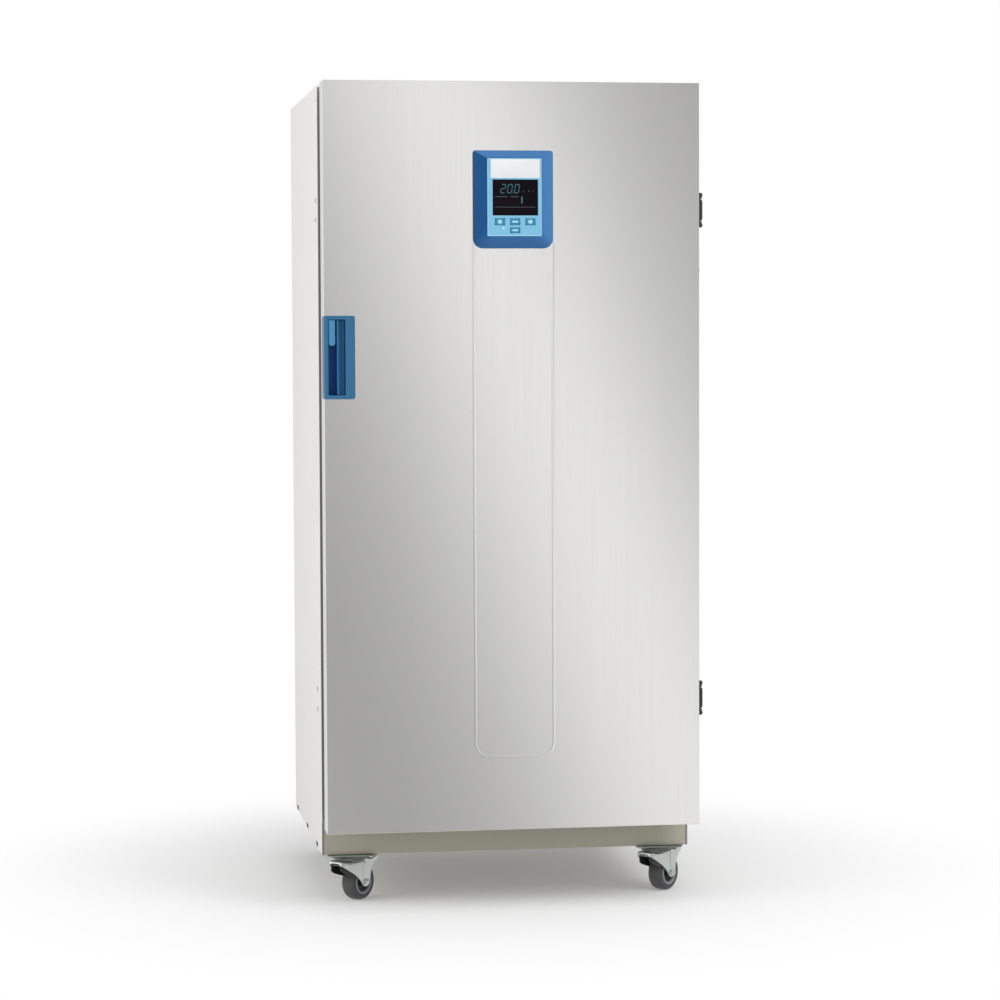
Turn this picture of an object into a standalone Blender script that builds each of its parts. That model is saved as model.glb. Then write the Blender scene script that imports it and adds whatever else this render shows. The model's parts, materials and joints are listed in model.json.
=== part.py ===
"""Refrigerated incubator: a floor-standing cabinet on four casters with one insulated steel door.

Metres, +Z up. X runs from the handle side to the hinge side, the door faces -Y, and the floor is z = 0.
"""

import math

import bmesh
import bpy
from mathutils import Matrix, Vector

GAP = 0.0003  # between pieces that rest on each other

# Cabinet
CABINET_WIDTH = 0.756
CABINET_DEPTH = 0.648
CABINET_HEIGHT = 1.5526
CABINET_REAR = 0.390
CASTER_HEIGHT = 0.101
SHEET = 0.0012
SIDE_RETURN = 0.020
TOP_FLANGE = 0.012
MACHINE_SPACE = 0.284
FRONT_STRIP_HEIGHT = 0.0675
BASE_THICKNESS = 0.002
BASE_FLANGE = 0.030

# Chamber
SIDE_INSULATION = 0.088
REAR_INSULATION = 0.060
TOP_INSULATION = 0.0736
FLOOR_INSULATION = 0.0538
LINER_FLANGE = 0.040
MOUTH_MARGIN = 0.016
COLLAR_THICKNESS = 0.0124
COLLAR_SIDE_INSET = 0.0105
COLLAR_TOP_INSET = 0.0056
MOUTH_SIDE_MARGIN = 0.025

# Door
DOOR_SIDE_INSET = 0.0005
DOOR_TOP_RISE = 0.0006
DOOR_BOTTOM_RISE = 0.0615
DOOR_SKIN_DEPTH = 0.062
DOOR_RETURN = 0.016
DOOR_LINER_DEPTH = 0.0297
DOOR_LINER_INSET = 0.010
DOOR_LINER_WALL = 0.002
GASKET_THICKNESS = 0.014
GASKET_INSET = 0.023
GASKET_WIDTH = 0.016

# Side hinges of the door
HINGE_PIN_OUT = 0.0095
HINGE_PIN_FORWARD = 0.0047
HINGE_FROM_DOOR_TOP = 0.2507
HINGE_FROM_DOOR_BOTTOM = 0.2505
HINGE_BARREL_LENGTH = 0.0454
HINGE_BARREL_RADIUS = 0.0052
HINGE_END_LENGTH = 0.0115
HINGE_END_RADIUS = 0.0080
HINGE_PIN_RADIUS = 0.0025
HINGE_PIN_CLEARANCE = 0.0003
HINGE_STRAP = 0.003
HINGE_STRAP_HEIGHT = 0.050
HINGE_STRAP_REACH = 0.063
HINGE_LEAF_LENGTH = 0.040

# Control panel in the door
BEZEL_WIDTH = 0.161
BEZEL_HEIGHT = 0.1935
BEZEL_BELOW_DOOR_TOP = 0.23295
BEZEL_PROUD = 0.014
BEZEL_WALL = 0.004
BEZEL_TOP_RADIUS = 0.005
BEZEL_BOTTOM_RADIUS = 0.020
BEZEL_RIM = 0.0015
KEYPAD_WIDTH = 0.1088
KEYPAD_HEIGHT = 0.1535
KEYPAD_CENTRE_X = 0.0012
KEYPAD_ABOVE_MIDDLE = 0.0039
KEYPAD_THICKNESS = 0.003
KEYPAD_LEDGE = 0.003
WINDOW_WIDTH = 0.0905
WINDOW_HEIGHT = 0.0704
WINDOW_CENTRE_X = 0.00285
WINDOW_BELOW_MIDDLE = 0.00055
KEY_WIDTH = 0.020
KEY_HEIGHT = 0.013
LOWER_KEY_HEIGHT = 0.011
KEY_DEPTH = 0.0034
KEY_PROUD = 0.0006
KEY_SPACING = 0.0305
KEY_ROW_X = 0.0022
KEY_ROW_BELOW_MIDDLE = 0.04835
LOWER_KEY_DROP = 0.0168

# Handle in the door's free edge
HANDLE_WIDTH = 0.060
HANDLE_ABOVE_DOOR_BOTTOM = 0.8665
HANDLE_HEIGHT = 0.1617
HANDLE_PROUD = 0.0015
HANDLE_DEPTH = 0.047
HANDLE_LEFT_RIM = 0.011
HANDLE_RIGHT_RIM = 0.0135
HANDLE_END_RIM = 0.0062
HANDLE_BACK_WALL = 0.007
HANDLE_TAB_WIDTH = 0.0105
HANDLE_TAB_HEIGHT = 0.052
HANDLE_TAB_DEEP = 0.004
PADDLE_SPAN = 0.0175
PADDLE_THICKNESS = 0.004
PADDLE_BARREL_RADIUS = 0.0034
PADDLE_PIVOT_DEEP = 0.0115
PADDLE_PIN_RADIUS = 0.0016
PADDLE_PIN_LENGTH = 0.003
PADDLE_END_CLEARANCE = 0.0010

# Latch behind the handle
LATCH_INSET = 0.0165
LATCH_PIVOT_RISE = 0.111
LATCH_PIN_RADIUS = 0.002
LATCH_BOSS_RADIUS = 0.004
LATCH_BOSS_LENGTH = 0.004
LATCH_THICKNESS = 0.002
LATCH_WIDTH = 0.009
LATCH_ABOVE_PIVOT = 0.006
LATCH_NOTCH_WIDTH = 0.0044
LATCH_NOTCH_HEIGHT = 0.006
STRIKE_BELOW_LATCH_PIVOT = 0.035
STRIKE_STUD_RADIUS = 0.0018
STRIKE_HEAD_RADIUS = 0.0032
STRIKE_HEAD_LENGTH = 0.002
STRIKE_CLEARANCE = 0.0008
STRIKE_PLATE = 0.0015
STRIKE_PLATE_SIZE = (0.011, 0.030)

# Cable grommet in the door's hinge edge
GROMMET_RADIUS = 0.009
GROMMET_PROUD = 0.0095
GROMMET_BEHIND_FRONT = 0.045
GROMMET_BELOW_DOOR_TOP = 0.3712

# Inner glass door
GLASS_THICKNESS = 0.005
GLASS_EDGE_CLEARANCE = 0.003
GLASS_SIDE_CLEARANCE = 0.006
GLASS_POST_RADIUS = 0.0075
GLASS_POST_INSET = 0.0095
GLASS_POST_BEHIND_FRONT = 0.0045
GLASS_POST_END_CLEARANCE = 0.001
GLASS_PIN_RADIUS = 0.003
GLASS_PIN_LENGTH = 0.006
GLASS_IN_POST = 0.0065
KNOB_RADIUS = 0.010
KNOB_LENGTH = 0.0145
KNOB_FROM_EDGE = 0.024
KNOB_ABOVE_FLOOR = 0.560

# Racks and shelves
RACK_SHEET = 0.0012
RACK_LEDGE = 0.012
RACK_LEDGE_THICKNESS = 0.002
RACK_FOOT = 0.030
RACK_FIRST_LEDGE = 0.050
RACK_SPACING = 0.075
RACK_LEDGES = 13
SHELF_BEHIND_GLASS = 0.030
SHELF_BACK_CLEARANCE = 0.0147
SHELF_THICKNESS = 0.002
SHELF_SIDE_CLEARANCE = 0.0025
SHELF_LIP = 0.012
SHELF_LEVELS = {"lower_shelf": 3, "upper_shelf": 9}
SHELF_SLOT_COUNT = (4, 14)
SHELF_SLOT_WEBS = (0.020, 0.018)
SHELF_SLOT_BORDERS = (0.02345, 0.013)

# Air duct on the chamber's back wall
DUCT_SIDE_CLEARANCE = 0.030
DUCT_DEPTH = 0.080
DUCT_BOTTOM = 0.030
DUCT_TOP = 0.020
DUCT_SLOT = (0.170, 0.008)
DUCT_SLOT_SPACING = 0.018
DUCT_INTAKE_SLOTS = 9
DUCT_OUTLET_SLOTS = 4
FAN_BELOW_TOP = 0.140
FAN_RADIUS = 0.080
FAN_HUB_RADIUS = 0.020
FAN_HUB_LENGTH = 0.016
FAN_BLADES = 5
FAN_BLADE_THICKNESS = 0.002
FAN_BLADE_PITCH = math.radians(28)
FAN_SHAFT_RADIUS = 0.003
FAN_BORE_CLEARANCE = 0.0003
FAN_MOTOR_RADIUS = 0.032
FAN_MOTOR_LENGTH = 0.036
FAN_MOTOR_PLATE = (0.090, 0.003)
FAN_SHAFT_LENGTH = 0.026
EVAPORATOR_SIDE_CLEARANCE = 0.050
EVAPORATOR_DEPTH = 0.045
EVAPORATOR_HEIGHT = 0.340
EVAPORATOR_BELOW_FAN = 0.180
EVAPORATOR_FINS = 14
HEATER_SIDE_CLEARANCE = 0.110
HEATER_SPACING = 0.040
HEATER_PASSES = 4
HEATER_RADIUS = 0.004
HEATER_BELOW_EVAPORATOR = 0.280
HEATER_OFF_WALL = 0.020
PROBE_FROM_DUCT_SIDE = 0.017
PROBE_BELOW_TOP = 0.060
PROBE_RADIUS = 0.0025
PROBE_LENGTH = 0.080
PROBE_COLLAR_RADIUS = 0.007

# Machine compartment
MACHINE_FROM_SIDE = 0.188
MACHINE_FROM_REAR = 0.210
COMPRESSOR_RADIUS = 0.078
COMPRESSOR_BODY = 0.175
COMPRESSOR_FEET = (0.210, 0.150, 0.004)
CONDENSER_SIZE = (0.240, 0.045, 0.220)
CONDENSER_FINS = 12
CONDENSER_MOTOR = (0.018, 0.028)
CONDENSER_SHAFT_LENGTH = 0.026
CONDENSER_FAN_RADIUS = 0.085
LOUVRE_END = 0.073
LOUVRE_MIDDLE = 0.035
LOUVRE_SLOT_HEIGHT = 0.006
LOUVRE_SPACING = 0.016
LOUVRE_ROWS = 9
INLET_FROM_SIDE = 0.078
INLET_ABOVE_BASE = 0.030
INLET_BODY = (0.030, 0.028, 0.022)
INLET_FLANGE = (0.050, 0.0015, 0.028)
INLET_SOCKET = (0.024, 0.016, 0.016)

# Casters
CASTER_SIDE_INSET = 0.059
CASTER_FRONT_INSET = 0.0297
CASTER_REAR_INSET = 0.070
CASTER_TURN = math.radians(46.2)
CASTER_MOUNT_RADIUS = 0.026
CASTER_MOUNT_HEIGHT = 0.014
KINGPIN_RADIUS = 0.005
KINGPIN_HEAD_RADIUS = 0.009
KINGPIN_HEAD_HEIGHT = 0.003
KINGPIN_CLEARANCE = 0.0005
WHEEL_RADIUS = 0.0375
WHEEL_WIDTH = 0.032
WHEEL_TRAIL = 0.027
WHEEL_STEPS = 24
WHEEL_SIDE_CLEARANCE = 0.0025
AXLE_RADIUS = 0.004
AXLE_CLEARANCE = 0.0004
AXLE_HEAD_RADIUS = 0.0065
AXLE_HEAD_HEIGHT = 0.004
FORK_SHEET = 0.003
FORK_LEAD = 0.048
FORK_LIP = 0.012
FORK_BOSS_RADIUS = 0.009
PEDAL_PIVOT_PAST_WHEEL = 0.0050
PEDAL_PIVOT_LEAN = math.radians(30)
PEDAL_BARREL_RADIUS = 0.0035
PEDAL_PIN_RADIUS = 0.0016
PEDAL_WIDTH = 0.028
PEDAL_LENGTH = 0.034
PEDAL_THICKNESS = 0.003
PEDAL_DROOP = math.radians(12)
PEDAL_SHOE_WIDTH = 0.020
PEDAL_SHOE_THICKNESS = 0.0024

# Places worked out from the sizes above
HALF_WIDTH = CABINET_WIDTH / 2
DOOR_WIDTH = CABINET_WIDTH - 2 * DOOR_SIDE_INSET
DOOR_HEIGHT = CABINET_HEIGHT + DOOR_TOP_RISE - DOOR_BOTTOM_RISE
HALF_DOOR = DOOR_WIDTH / 2
CHAMBER_WIDTH = CABINET_WIDTH - 2 * SIDE_INSULATION
CHAMBER_DEPTH = CABINET_DEPTH - REAR_INSULATION
CHAMBER_HEIGHT = CABINET_HEIGHT - MACHINE_SPACE - FLOOR_INSULATION - SHEET - TOP_INSULATION
CABINET_FRONT = CABINET_REAR - CABINET_DEPTH
CABINET_TOP = CASTER_HEIGHT + CABINET_HEIGHT
INNER_HALF_WIDTH = HALF_WIDTH - SHEET - GAP
REAR_PANEL_OUTER = CABINET_REAR - SHEET - GAP
REAR_PANEL_INNER = REAR_PANEL_OUTER - SHEET
BODY_FRONT_INNER = CABINET_FRONT + SHEET + GAP
INSULATION_BOTTOM = CASTER_HEIGHT + MACHINE_SPACE
CHAMBER_FLOOR = INSULATION_BOTTOM + FLOOR_INSULATION + SHEET
CHAMBER_TOP = CHAMBER_FLOOR + CHAMBER_HEIGHT
CHAMBER_BACK = CABINET_FRONT + CHAMBER_DEPTH
HALF_CHAMBER = CHAMBER_WIDTH / 2
BASE_TOP = CASTER_HEIGHT + BASE_THICKNESS
STRIP_TOP = CASTER_HEIGHT + FRONT_STRIP_HEIGHT
COLLAR_BACK = CABINET_FRONT - GAP
COLLAR_FRONT = COLLAR_BACK - COLLAR_THICKNESS
COLLAR_BOTTOM = STRIP_TOP + 5 * GAP
MOUTH_HALF_WIDTH = HALF_CHAMBER + MOUTH_SIDE_MARGIN
MOUTH_BOTTOM = CHAMBER_FLOOR - MOUTH_MARGIN
MOUTH_TOP = CHAMBER_TOP + MOUTH_MARGIN
GASKET_BACK = COLLAR_FRONT - GAP
GASKET_FRONT = GASKET_BACK - GASKET_THICKNESS
DOOR_LINER_BACK = GASKET_FRONT - GAP
DOOR_LINER_FRONT = DOOR_LINER_BACK - DOOR_LINER_DEPTH
DOOR_SKIN_BACK = DOOR_LINER_FRONT - GAP
DOOR_FRONT = DOOR_SKIN_BACK - DOOR_SKIN_DEPTH
DOOR_TOP = CABINET_TOP + DOOR_TOP_RISE
DOOR_BOTTOM = DOOR_TOP - DOOR_HEIGHT
BEZEL_FRONT = DOOR_FRONT - GAP - BEZEL_PROUD
BEZEL_CENTRE_Z = DOOR_TOP - BEZEL_BELOW_DOOR_TOP
KEYPAD_CENTRE_Z = BEZEL_CENTRE_Z + KEYPAD_ABOVE_MIDDLE
WINDOW_CENTRE_Z = KEYPAD_CENTRE_Z - WINDOW_BELOW_MIDDLE
KEY_ROW_Z = KEYPAD_CENTRE_Z - KEY_ROW_BELOW_MIDDLE
LOWER_KEY_Z = KEY_ROW_Z - LOWER_KEY_DROP
HINGE_PIN_X = HALF_WIDTH + HINGE_PIN_OUT
HINGE_PIN_Y = DOOR_SKIN_BACK - HINGE_PIN_FORWARD
HINGE_HEIGHTS = {"upper": DOOR_TOP - HINGE_FROM_DOOR_TOP, "lower": DOOR_BOTTOM + HINGE_FROM_DOOR_BOTTOM}
HINGE_STRAP_END = CABINET_FRONT + HINGE_STRAP_REACH
HANDLE_BOTTOM = DOOR_BOTTOM + HANDLE_ABOVE_DOOR_BOTTOM
HANDLE_TOP = HANDLE_BOTTOM + HANDLE_HEIGHT
GROMMET_Z = DOOR_TOP - GROMMET_BELOW_DOOR_TOP
LATCH_PIVOT_Z = HANDLE_BOTTOM + LATCH_PIVOT_RISE
STRIKE_Z = LATCH_PIVOT_Z - STRIKE_BELOW_LATCH_PIVOT
LATCH_X = -(HALF_DOOR - LATCH_INSET)
LATCH_BACK = DOOR_LINER_BACK + LATCH_BOSS_LENGTH + GAP
GLASS_POST_X = MOUTH_HALF_WIDTH - GLASS_POST_INSET
GLASS_POST_Y = COLLAR_FRONT + GLASS_POST_BEHIND_FRONT
GLASS_BACK = GLASS_POST_Y + GLASS_POST_RADIUS
GLASS_FRONT = GLASS_BACK - GLASS_THICKNESS
SHELF_FRONT = GLASS_BACK + SHELF_BEHIND_GLASS
DUCT_FRONT = CHAMBER_BACK - DUCT_DEPTH
DUCT_WIDTH = CHAMBER_WIDTH - 2 * DUCT_SIDE_CLEARANCE
SHELF_DEPTH = DUCT_FRONT - SHELF_FRONT - SHELF_BACK_CLEARANCE
SHELF_HALF_WIDTH = HALF_CHAMBER - GAP - RACK_SHEET - SHELF_SIDE_CLEARANCE
FAN_Z = CHAMBER_TOP - FAN_BELOW_TOP
EVAPORATOR_SIZE = (DUCT_WIDTH - 2 * EVAPORATOR_SIDE_CLEARANCE, EVAPORATOR_DEPTH, EVAPORATOR_HEIGHT)
EVAPORATOR_BOTTOM = FAN_Z - EVAPORATOR_BELOW_FAN - EVAPORATOR_HEIGHT
HEATER_WIDTH = DUCT_WIDTH - 2 * HEATER_SIDE_CLEARANCE
HEATER_BOTTOM = EVAPORATOR_BOTTOM - HEATER_BELOW_EVAPORATOR
PROBE_X = DUCT_WIDTH / 2 - PROBE_FROM_DUCT_SIDE
PROBE_Z = CHAMBER_TOP - PROBE_BELOW_TOP
KNOB_Z = CHAMBER_FLOOR + KNOB_ABOVE_FLOOR
COMPRESSOR_X = HALF_WIDTH - MACHINE_FROM_SIDE
CONDENSER_X = -COMPRESSOR_X
COMPRESSOR_Y = CABINET_REAR - MACHINE_FROM_REAR
CONDENSER_Y = COMPRESSOR_Y
LOUVRE_OUTER = HALF_WIDTH - LOUVRE_END
INLET_X = HALF_WIDTH - INLET_FROM_SIDE
CASTER_X = HALF_WIDTH - CASTER_SIDE_INSET
CASTER_FRONT_Y = CABINET_FRONT + CASTER_FRONT_INSET
CASTER_REAR_Y = CABINET_REAR - CASTER_REAR_INSET
CASTERS = {
    "front_left": (-CASTER_X, CASTER_FRONT_Y),
    "front_right": (CASTER_X, CASTER_FRONT_Y),
    "rear_left": (-CASTER_X, CASTER_REAR_Y),
    "rear_right": (CASTER_X, CASTER_REAR_Y),
}

# Colour, roughness and metallic value of each finish
FINISHES = {
    "white_paint": ((0.83, 0.82, 0.80), 0.45, 0.0),
    "base_steel": ((0.33, 0.32, 0.26), 0.45, 0.6),
    "brushed_steel": ((0.66, 0.66, 0.65), 0.32, 1.0),
    "zinc": ((0.62, 0.65, 0.64), 0.35, 0.9),
    "galvanised_steel": ((0.55, 0.56, 0.56), 0.5, 0.9),
    "dark_plastic": ((0.06, 0.06, 0.06), 0.55, 0.0),
    "black_plastic": ((0.02, 0.02, 0.02), 0.4, 0.0),
    "grey_plastic": ((0.45, 0.46, 0.47), 0.5, 0.0),
    "blue_plastic": ((0.03, 0.13, 0.34), 0.35, 0.0),
    "light_blue_plastic": ((0.24, 0.56, 0.80), 0.4, 0.0),
    "key_plastic": ((0.06, 0.30, 0.52), 0.45, 0.0),
    "display_glass": ((0.01, 0.01, 0.012), 0.1, 0.0),
    "gasket_rubber": ((0.09, 0.09, 0.09), 0.7, 0.0),
    "foam": ((0.80, 0.72, 0.50), 0.9, 0.0),
    "clear_glass": ((0.80, 0.88, 0.86), 0.03, 0.0),
    "aluminium": ((0.75, 0.76, 0.77), 0.35, 1.0),
    "tyre_rubber": ((0.07, 0.07, 0.075), 0.7, 0.0),
    "compressor_black": ((0.03, 0.03, 0.03), 0.4, 0.2),
    "pin_steel": ((0.60, 0.60, 0.60), 0.3, 1.0),
}


def clear_scene():
    for obj in list(bpy.data.objects):
        bpy.data.objects.remove(obj, do_unlink=True)


clear_scene()
PARTS = bpy.data.collections.new("refrigerated_incubator")
CUTTERS = bpy.data.collections.new("cutters")
bpy.context.scene.collection.children.link(PARTS)
bpy.context.scene.collection.children.link(CUTTERS)


def finish(name):
    """The Principled material of one finish, made the first time it is asked for."""
    if name in bpy.data.materials:
        return bpy.data.materials[name]
    colour, roughness, metallic = FINISHES[name]
    material = bpy.data.materials.new(name)
    material.use_nodes = True
    shader = material.node_tree.nodes["Principled BSDF"]
    shader.inputs["Base Color"].default_value = (*colour, 1.0)
    shader.inputs["Roughness"].default_value = roughness
    shader.inputs["Metallic"].default_value = metallic
    material.diffuse_color = (*colour, 1.0)
    return material


def place(name, mesh, material=None):
    """Puts a mesh in the scene: as a part when it has a material, and otherwise as a hidden helper."""
    obj = bpy.data.objects.new(name, mesh)
    if material is None:
        CUTTERS.objects.link(obj)
        obj.hide_render = True
        obj.display_type = "WIRE"
    else:
        PARTS.objects.link(obj)
        mesh.materials.append(finish(material))
    return obj


def box_mesh(name, boxes):
    """One mesh of separate boxes, each given by its low and high corner."""
    bm = bmesh.new()
    for low, high in boxes:
        low, high = Vector(low), Vector(high)
        middle = Matrix.Translation((low + high) / 2)
        size = Matrix.Diagonal((*(high - low), 1.0))
        bmesh.ops.create_cube(bm, size=1.0, matrix=middle @ size)
    mesh = bpy.data.meshes.new(name)
    bm.to_mesh(mesh)
    bm.free()
    return mesh


def box(name, low, high, material=None):
    return place(name, box_mesh(name, [(low, high)]), material)


def boxes(name, corners, material=None):
    return place(name, box_mesh(name, corners), material)


AXIS_TURNS = {
    "X": Matrix.Rotation(math.pi / 2, 4, "Y"),
    "Y": Matrix.Rotation(-math.pi / 2, 4, "X"),
    "Z": Matrix.Identity(4),
}


def cylinder(name, start, axis, length, radius, material=None, steps=24, end_radius=None):
    """A cylinder or cone that starts at a point and runs along +X, +Y or +Z."""
    bm = bmesh.new()
    turn = AXIS_TURNS[axis]
    along = turn @ Vector((0, 0, length / 2))
    bmesh.ops.create_cone(
        bm,
        cap_ends=True,
        segments=steps,
        radius1=radius,
        radius2=radius if end_radius is None else end_radius,
        depth=length,
        matrix=Matrix.Translation(Vector(start) + along) @ turn,
    )
    mesh = bpy.data.meshes.new(name)
    bm.to_mesh(mesh)
    bm.free()
    obj = place(name, mesh, material)
    smooth(obj)
    return obj


def smooth(obj, angle=math.radians(35)):
    obj.data.shade_smooth()
    obj.data.set_sharp_from_angle(angle=angle)


def turned(name, profile, steps, material=None):
    """A turned solid about Z from (radius, height) points that run down its outer side."""
    mesh = bpy.data.meshes.new(name)
    points = [(radius, 0.0, height) for radius, height in profile]
    count = len(points)
    closed_loop = min(radius for radius, _ in profile) > 1e-6
    edges = [(i, i + 1) for i in range(count - 1)]
    if closed_loop:
        edges.append((count - 1, 0))
    mesh.from_pydata(points, edges, [])
    obj = place(name, mesh, material)
    screw = obj.modifiers.new("Turn", "SCREW")
    screw.axis = "Z"
    screw.angle = math.tau
    screw.steps = steps
    screw.render_steps = steps
    screw.use_merge_vertices = True
    screw.merge_threshold = 0.00001
    screw.use_smooth_shade = True
    return obj


PLANE_TURNS = {
    "XY": Matrix.Identity(4),
    "XZ": Matrix.Rotation(math.pi / 2, 4, "X"),
    "YZ": Matrix.Rotation(math.pi / 2, 4, "Z") @ Matrix.Rotation(math.pi / 2, 4, "X"),
}


def outline(name, points, plane, start, length, material=None):
    """A flat outline in the XY, XZ or YZ plane, given thickness from `start` along the third axis."""
    curve = bpy.data.curves.new(name, "CURVE")
    curve.dimensions = "2D"
    curve.fill_mode = "BOTH"
    curve.extrude = length / 2
    spline = curve.splines.new("POLY")
    spline.points.add(len(points) - 1)
    for point, (across, up) in zip(spline.points, points):
        point.co = (across, up, 0.0, 1.0)
    spline.use_cyclic_u = True
    guide = bpy.data.objects.new(name, curve)
    CUTTERS.objects.link(guide)
    graph = bpy.context.evaluated_depsgraph_get()
    mesh = bpy.data.meshes.new_from_object(guide.evaluated_get(graph))
    bpy.data.objects.remove(guide, do_unlink=True)
    bpy.data.curves.remove(curve)
    shift = {"XY": (0, 0, 1), "XZ": (0, 1, 0), "YZ": (1, 0, 0)}[plane]
    middle = Vector(shift) * (start + length / 2)
    mesh.transform(Matrix.Translation(middle) @ PLANE_TURNS[plane])
    bm = bmesh.new()
    bm.from_mesh(mesh)
    bmesh.ops.remove_doubles(bm, verts=bm.verts, dist=1e-6)
    bmesh.ops.dissolve_limit(bm, angle_limit=math.radians(0.5), verts=bm.verts, edges=bm.edges)
    bmesh.ops.recalc_face_normals(bm, faces=bm.faces)
    bm.to_mesh(mesh)
    bm.free()
    return place(name, mesh, material)


def loft(name, loops, material=None):
    """A closed solid through loops of equally many points, capped at both ends."""
    bm = bmesh.new()
    rings = [[bm.verts.new(point) for point in loop] for loop in loops]
    count = len(rings[0])
    for lower, upper in zip(rings, rings[1:]):
        for i in range(count):
            j = (i + 1) % count
            bm.faces.new((lower[i], lower[j], upper[j], upper[i]))
    bm.faces.new(rings[0])
    bm.faces.new(rings[-1])
    bmesh.ops.recalc_face_normals(bm, faces=bm.faces)
    mesh = bpy.data.meshes.new(name)
    bm.to_mesh(mesh)
    bm.free()
    return place(name, mesh, material)


def combine(obj, other, operation):
    """Cuts a helper from an object, or joins it on, with an exact Boolean."""
    boolean = obj.modifiers.new(other.name, "BOOLEAN")
    boolean.operation = operation
    boolean.object = other
    return obj


def cut(obj, *helpers):
    for helper in helpers:
        combine(obj, helper, "DIFFERENCE")
    return obj


def join(obj, *helpers):
    for helper in helpers:
        combine(obj, helper, "UNION")
    return obj


def arc(centre, radius, start, end, steps):
    """Points on an arc from one angle to another, both in radians."""
    angles = [start + (end - start) * i / steps for i in range(steps + 1)]
    return [(centre[0] + radius * math.cos(a), centre[1] + radius * math.sin(a)) for a in angles]


def rounded_rectangle(left, right, bottom, top, bottom_radius, top_radius, steps=4):
    """Outline points, counter-clockwise from the lower left corner."""
    points = []
    corners = (
        (left + bottom_radius, bottom + bottom_radius, bottom_radius, math.pi),
        (right - bottom_radius, bottom + bottom_radius, bottom_radius, 1.5 * math.pi),
        (right - top_radius, top - top_radius, top_radius, 0.0),
        (left + top_radius, top - top_radius, top_radius, 0.5 * math.pi),
    )
    for across, up, radius, start in corners:
        points += arc((across, up), radius, start, start + math.pi / 2, steps)
    return points


def axis_empty(name, location, turn=0.0):
    empty = bpy.data.objects.new(name, None)
    empty.location = location
    empty.rotation_euler = (0.0, 0.0, turn)
    empty.empty_display_size = 0.05
    PARTS.objects.link(empty)
    bpy.context.view_layer.update()
    return empty


def carry(empty, *objects):
    """Parents objects, modelled in the cabinet's frame, to the empty on their joint's axis."""
    for obj in objects:
        obj.parent = empty
        obj.matrix_parent_inverse = empty.matrix_world.inverted()


def side_panel(side):
    """A folded side sheet with a return at the front and at the rear."""
    sign = -1 if side == "left" else 1
    outer = sign * HALF_WIDTH
    inner = sign * (HALF_WIDTH - SHEET)
    edge = sign * (HALF_WIDTH - SIDE_RETURN)
    points = [
        (outer, CABINET_FRONT),
        (outer, CABINET_REAR),
        (edge, CABINET_REAR),
        (edge, CABINET_REAR - SHEET),
        (inner, CABINET_REAR - SHEET),
        (inner, CABINET_FRONT + SHEET),
        (edge, CABINET_FRONT + SHEET),
        (edge, CABINET_FRONT),
    ]
    return outline(f"{side}_side_panel", points, "XY", CASTER_HEIGHT, CABINET_HEIGHT, "white_paint")


def top_panel():
    rear = REAR_PANEL_INNER - GAP
    tray = box(
        "top_panel",
        (-INNER_HALF_WIDTH, BODY_FRONT_INNER, CABINET_TOP - TOP_FLANGE),
        (INNER_HALF_WIDTH, rear, CABINET_TOP),
        "white_paint",
    )
    hollow = box(
        "top_panel_hollow",
        (-INNER_HALF_WIDTH + SHEET, BODY_FRONT_INNER + SHEET, CABINET_TOP - 2 * TOP_FLANGE),
        (INNER_HALF_WIDTH - SHEET, rear - SHEET, CABINET_TOP - SHEET),
    )
    return cut(tray, hollow)


def rear_panel():
    return box(
        "rear_panel",
        (-INNER_HALF_WIDTH, REAR_PANEL_INNER, INSULATION_BOTTOM),
        (INNER_HALF_WIDTH, REAR_PANEL_OUTER, CABINET_TOP - GAP),
        "galvanised_steel",
    )


def machine_cover():
    """The lower rear cover, with louvre slots and the hole for the power inlet."""
    cover = box(
        "machine_cover",
        (-INNER_HALF_WIDTH, REAR_PANEL_INNER, BASE_TOP + GAP),
        (INNER_HALF_WIDTH, REAR_PANEL_OUTER, INSULATION_BOTTOM - GAP),
        "galvanised_steel",
    )
    middle = (BASE_TOP + INSULATION_BOTTOM) / 2 + INLET_FLANGE[2] / 2
    slots = []
    for column in (-(LOUVRE_OUTER + LOUVRE_MIDDLE) / 2, (LOUVRE_OUTER + LOUVRE_MIDDLE) / 2):
        for row in range(LOUVRE_ROWS):
            height = middle + (row - (LOUVRE_ROWS - 1) / 2) * LOUVRE_SPACING
            half_length, half_height = (LOUVRE_OUTER - LOUVRE_MIDDLE) / 2, LOUVRE_SLOT_HEIGHT / 2
            low = (column - half_length, REAR_PANEL_INNER - SHEET, height - half_height)
            high = (column + half_length, REAR_PANEL_OUTER + SHEET, height + half_height)
            slots.append((low, high))
    across, _, up = (size / 2 + GAP for size in INLET_BODY)
    inlet_z = BASE_TOP + INLET_ABOVE_BASE
    slots.append(
        (
            (INLET_X - across, REAR_PANEL_INNER - SHEET, inlet_z - up),
            (INLET_X + across, REAR_PANEL_OUTER + SHEET, inlet_z + up),
        )
    )
    return cut(cover, boxes("machine_cover_slots", slots))


def power_inlet():
    inlet_z = BASE_TOP + INLET_ABOVE_BASE
    flange_front = REAR_PANEL_OUTER + GAP
    across, deep, up = INLET_FLANGE
    flange = box(
        "power_inlet",
        (INLET_X - across / 2, flange_front, inlet_z - up / 2),
        (INLET_X + across / 2, flange_front + deep, inlet_z + up / 2),
        "black_plastic",
    )
    across, back, up = INLET_BODY
    body = box(
        "power_inlet_body",
        (INLET_X - across / 2, flange_front - back, inlet_z - up / 2),
        (INLET_X + across / 2, flange_front + deep / 2, inlet_z + up / 2),
    )
    across, hollow, up = INLET_SOCKET
    socket = box(
        "power_inlet_socket",
        (INLET_X - across / 2, flange_front + deep - hollow, inlet_z - up / 2),
        (INLET_X + across / 2, flange_front + 2 * deep, inlet_z + up / 2),
    )
    return cut(join(flange, body), socket)


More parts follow.
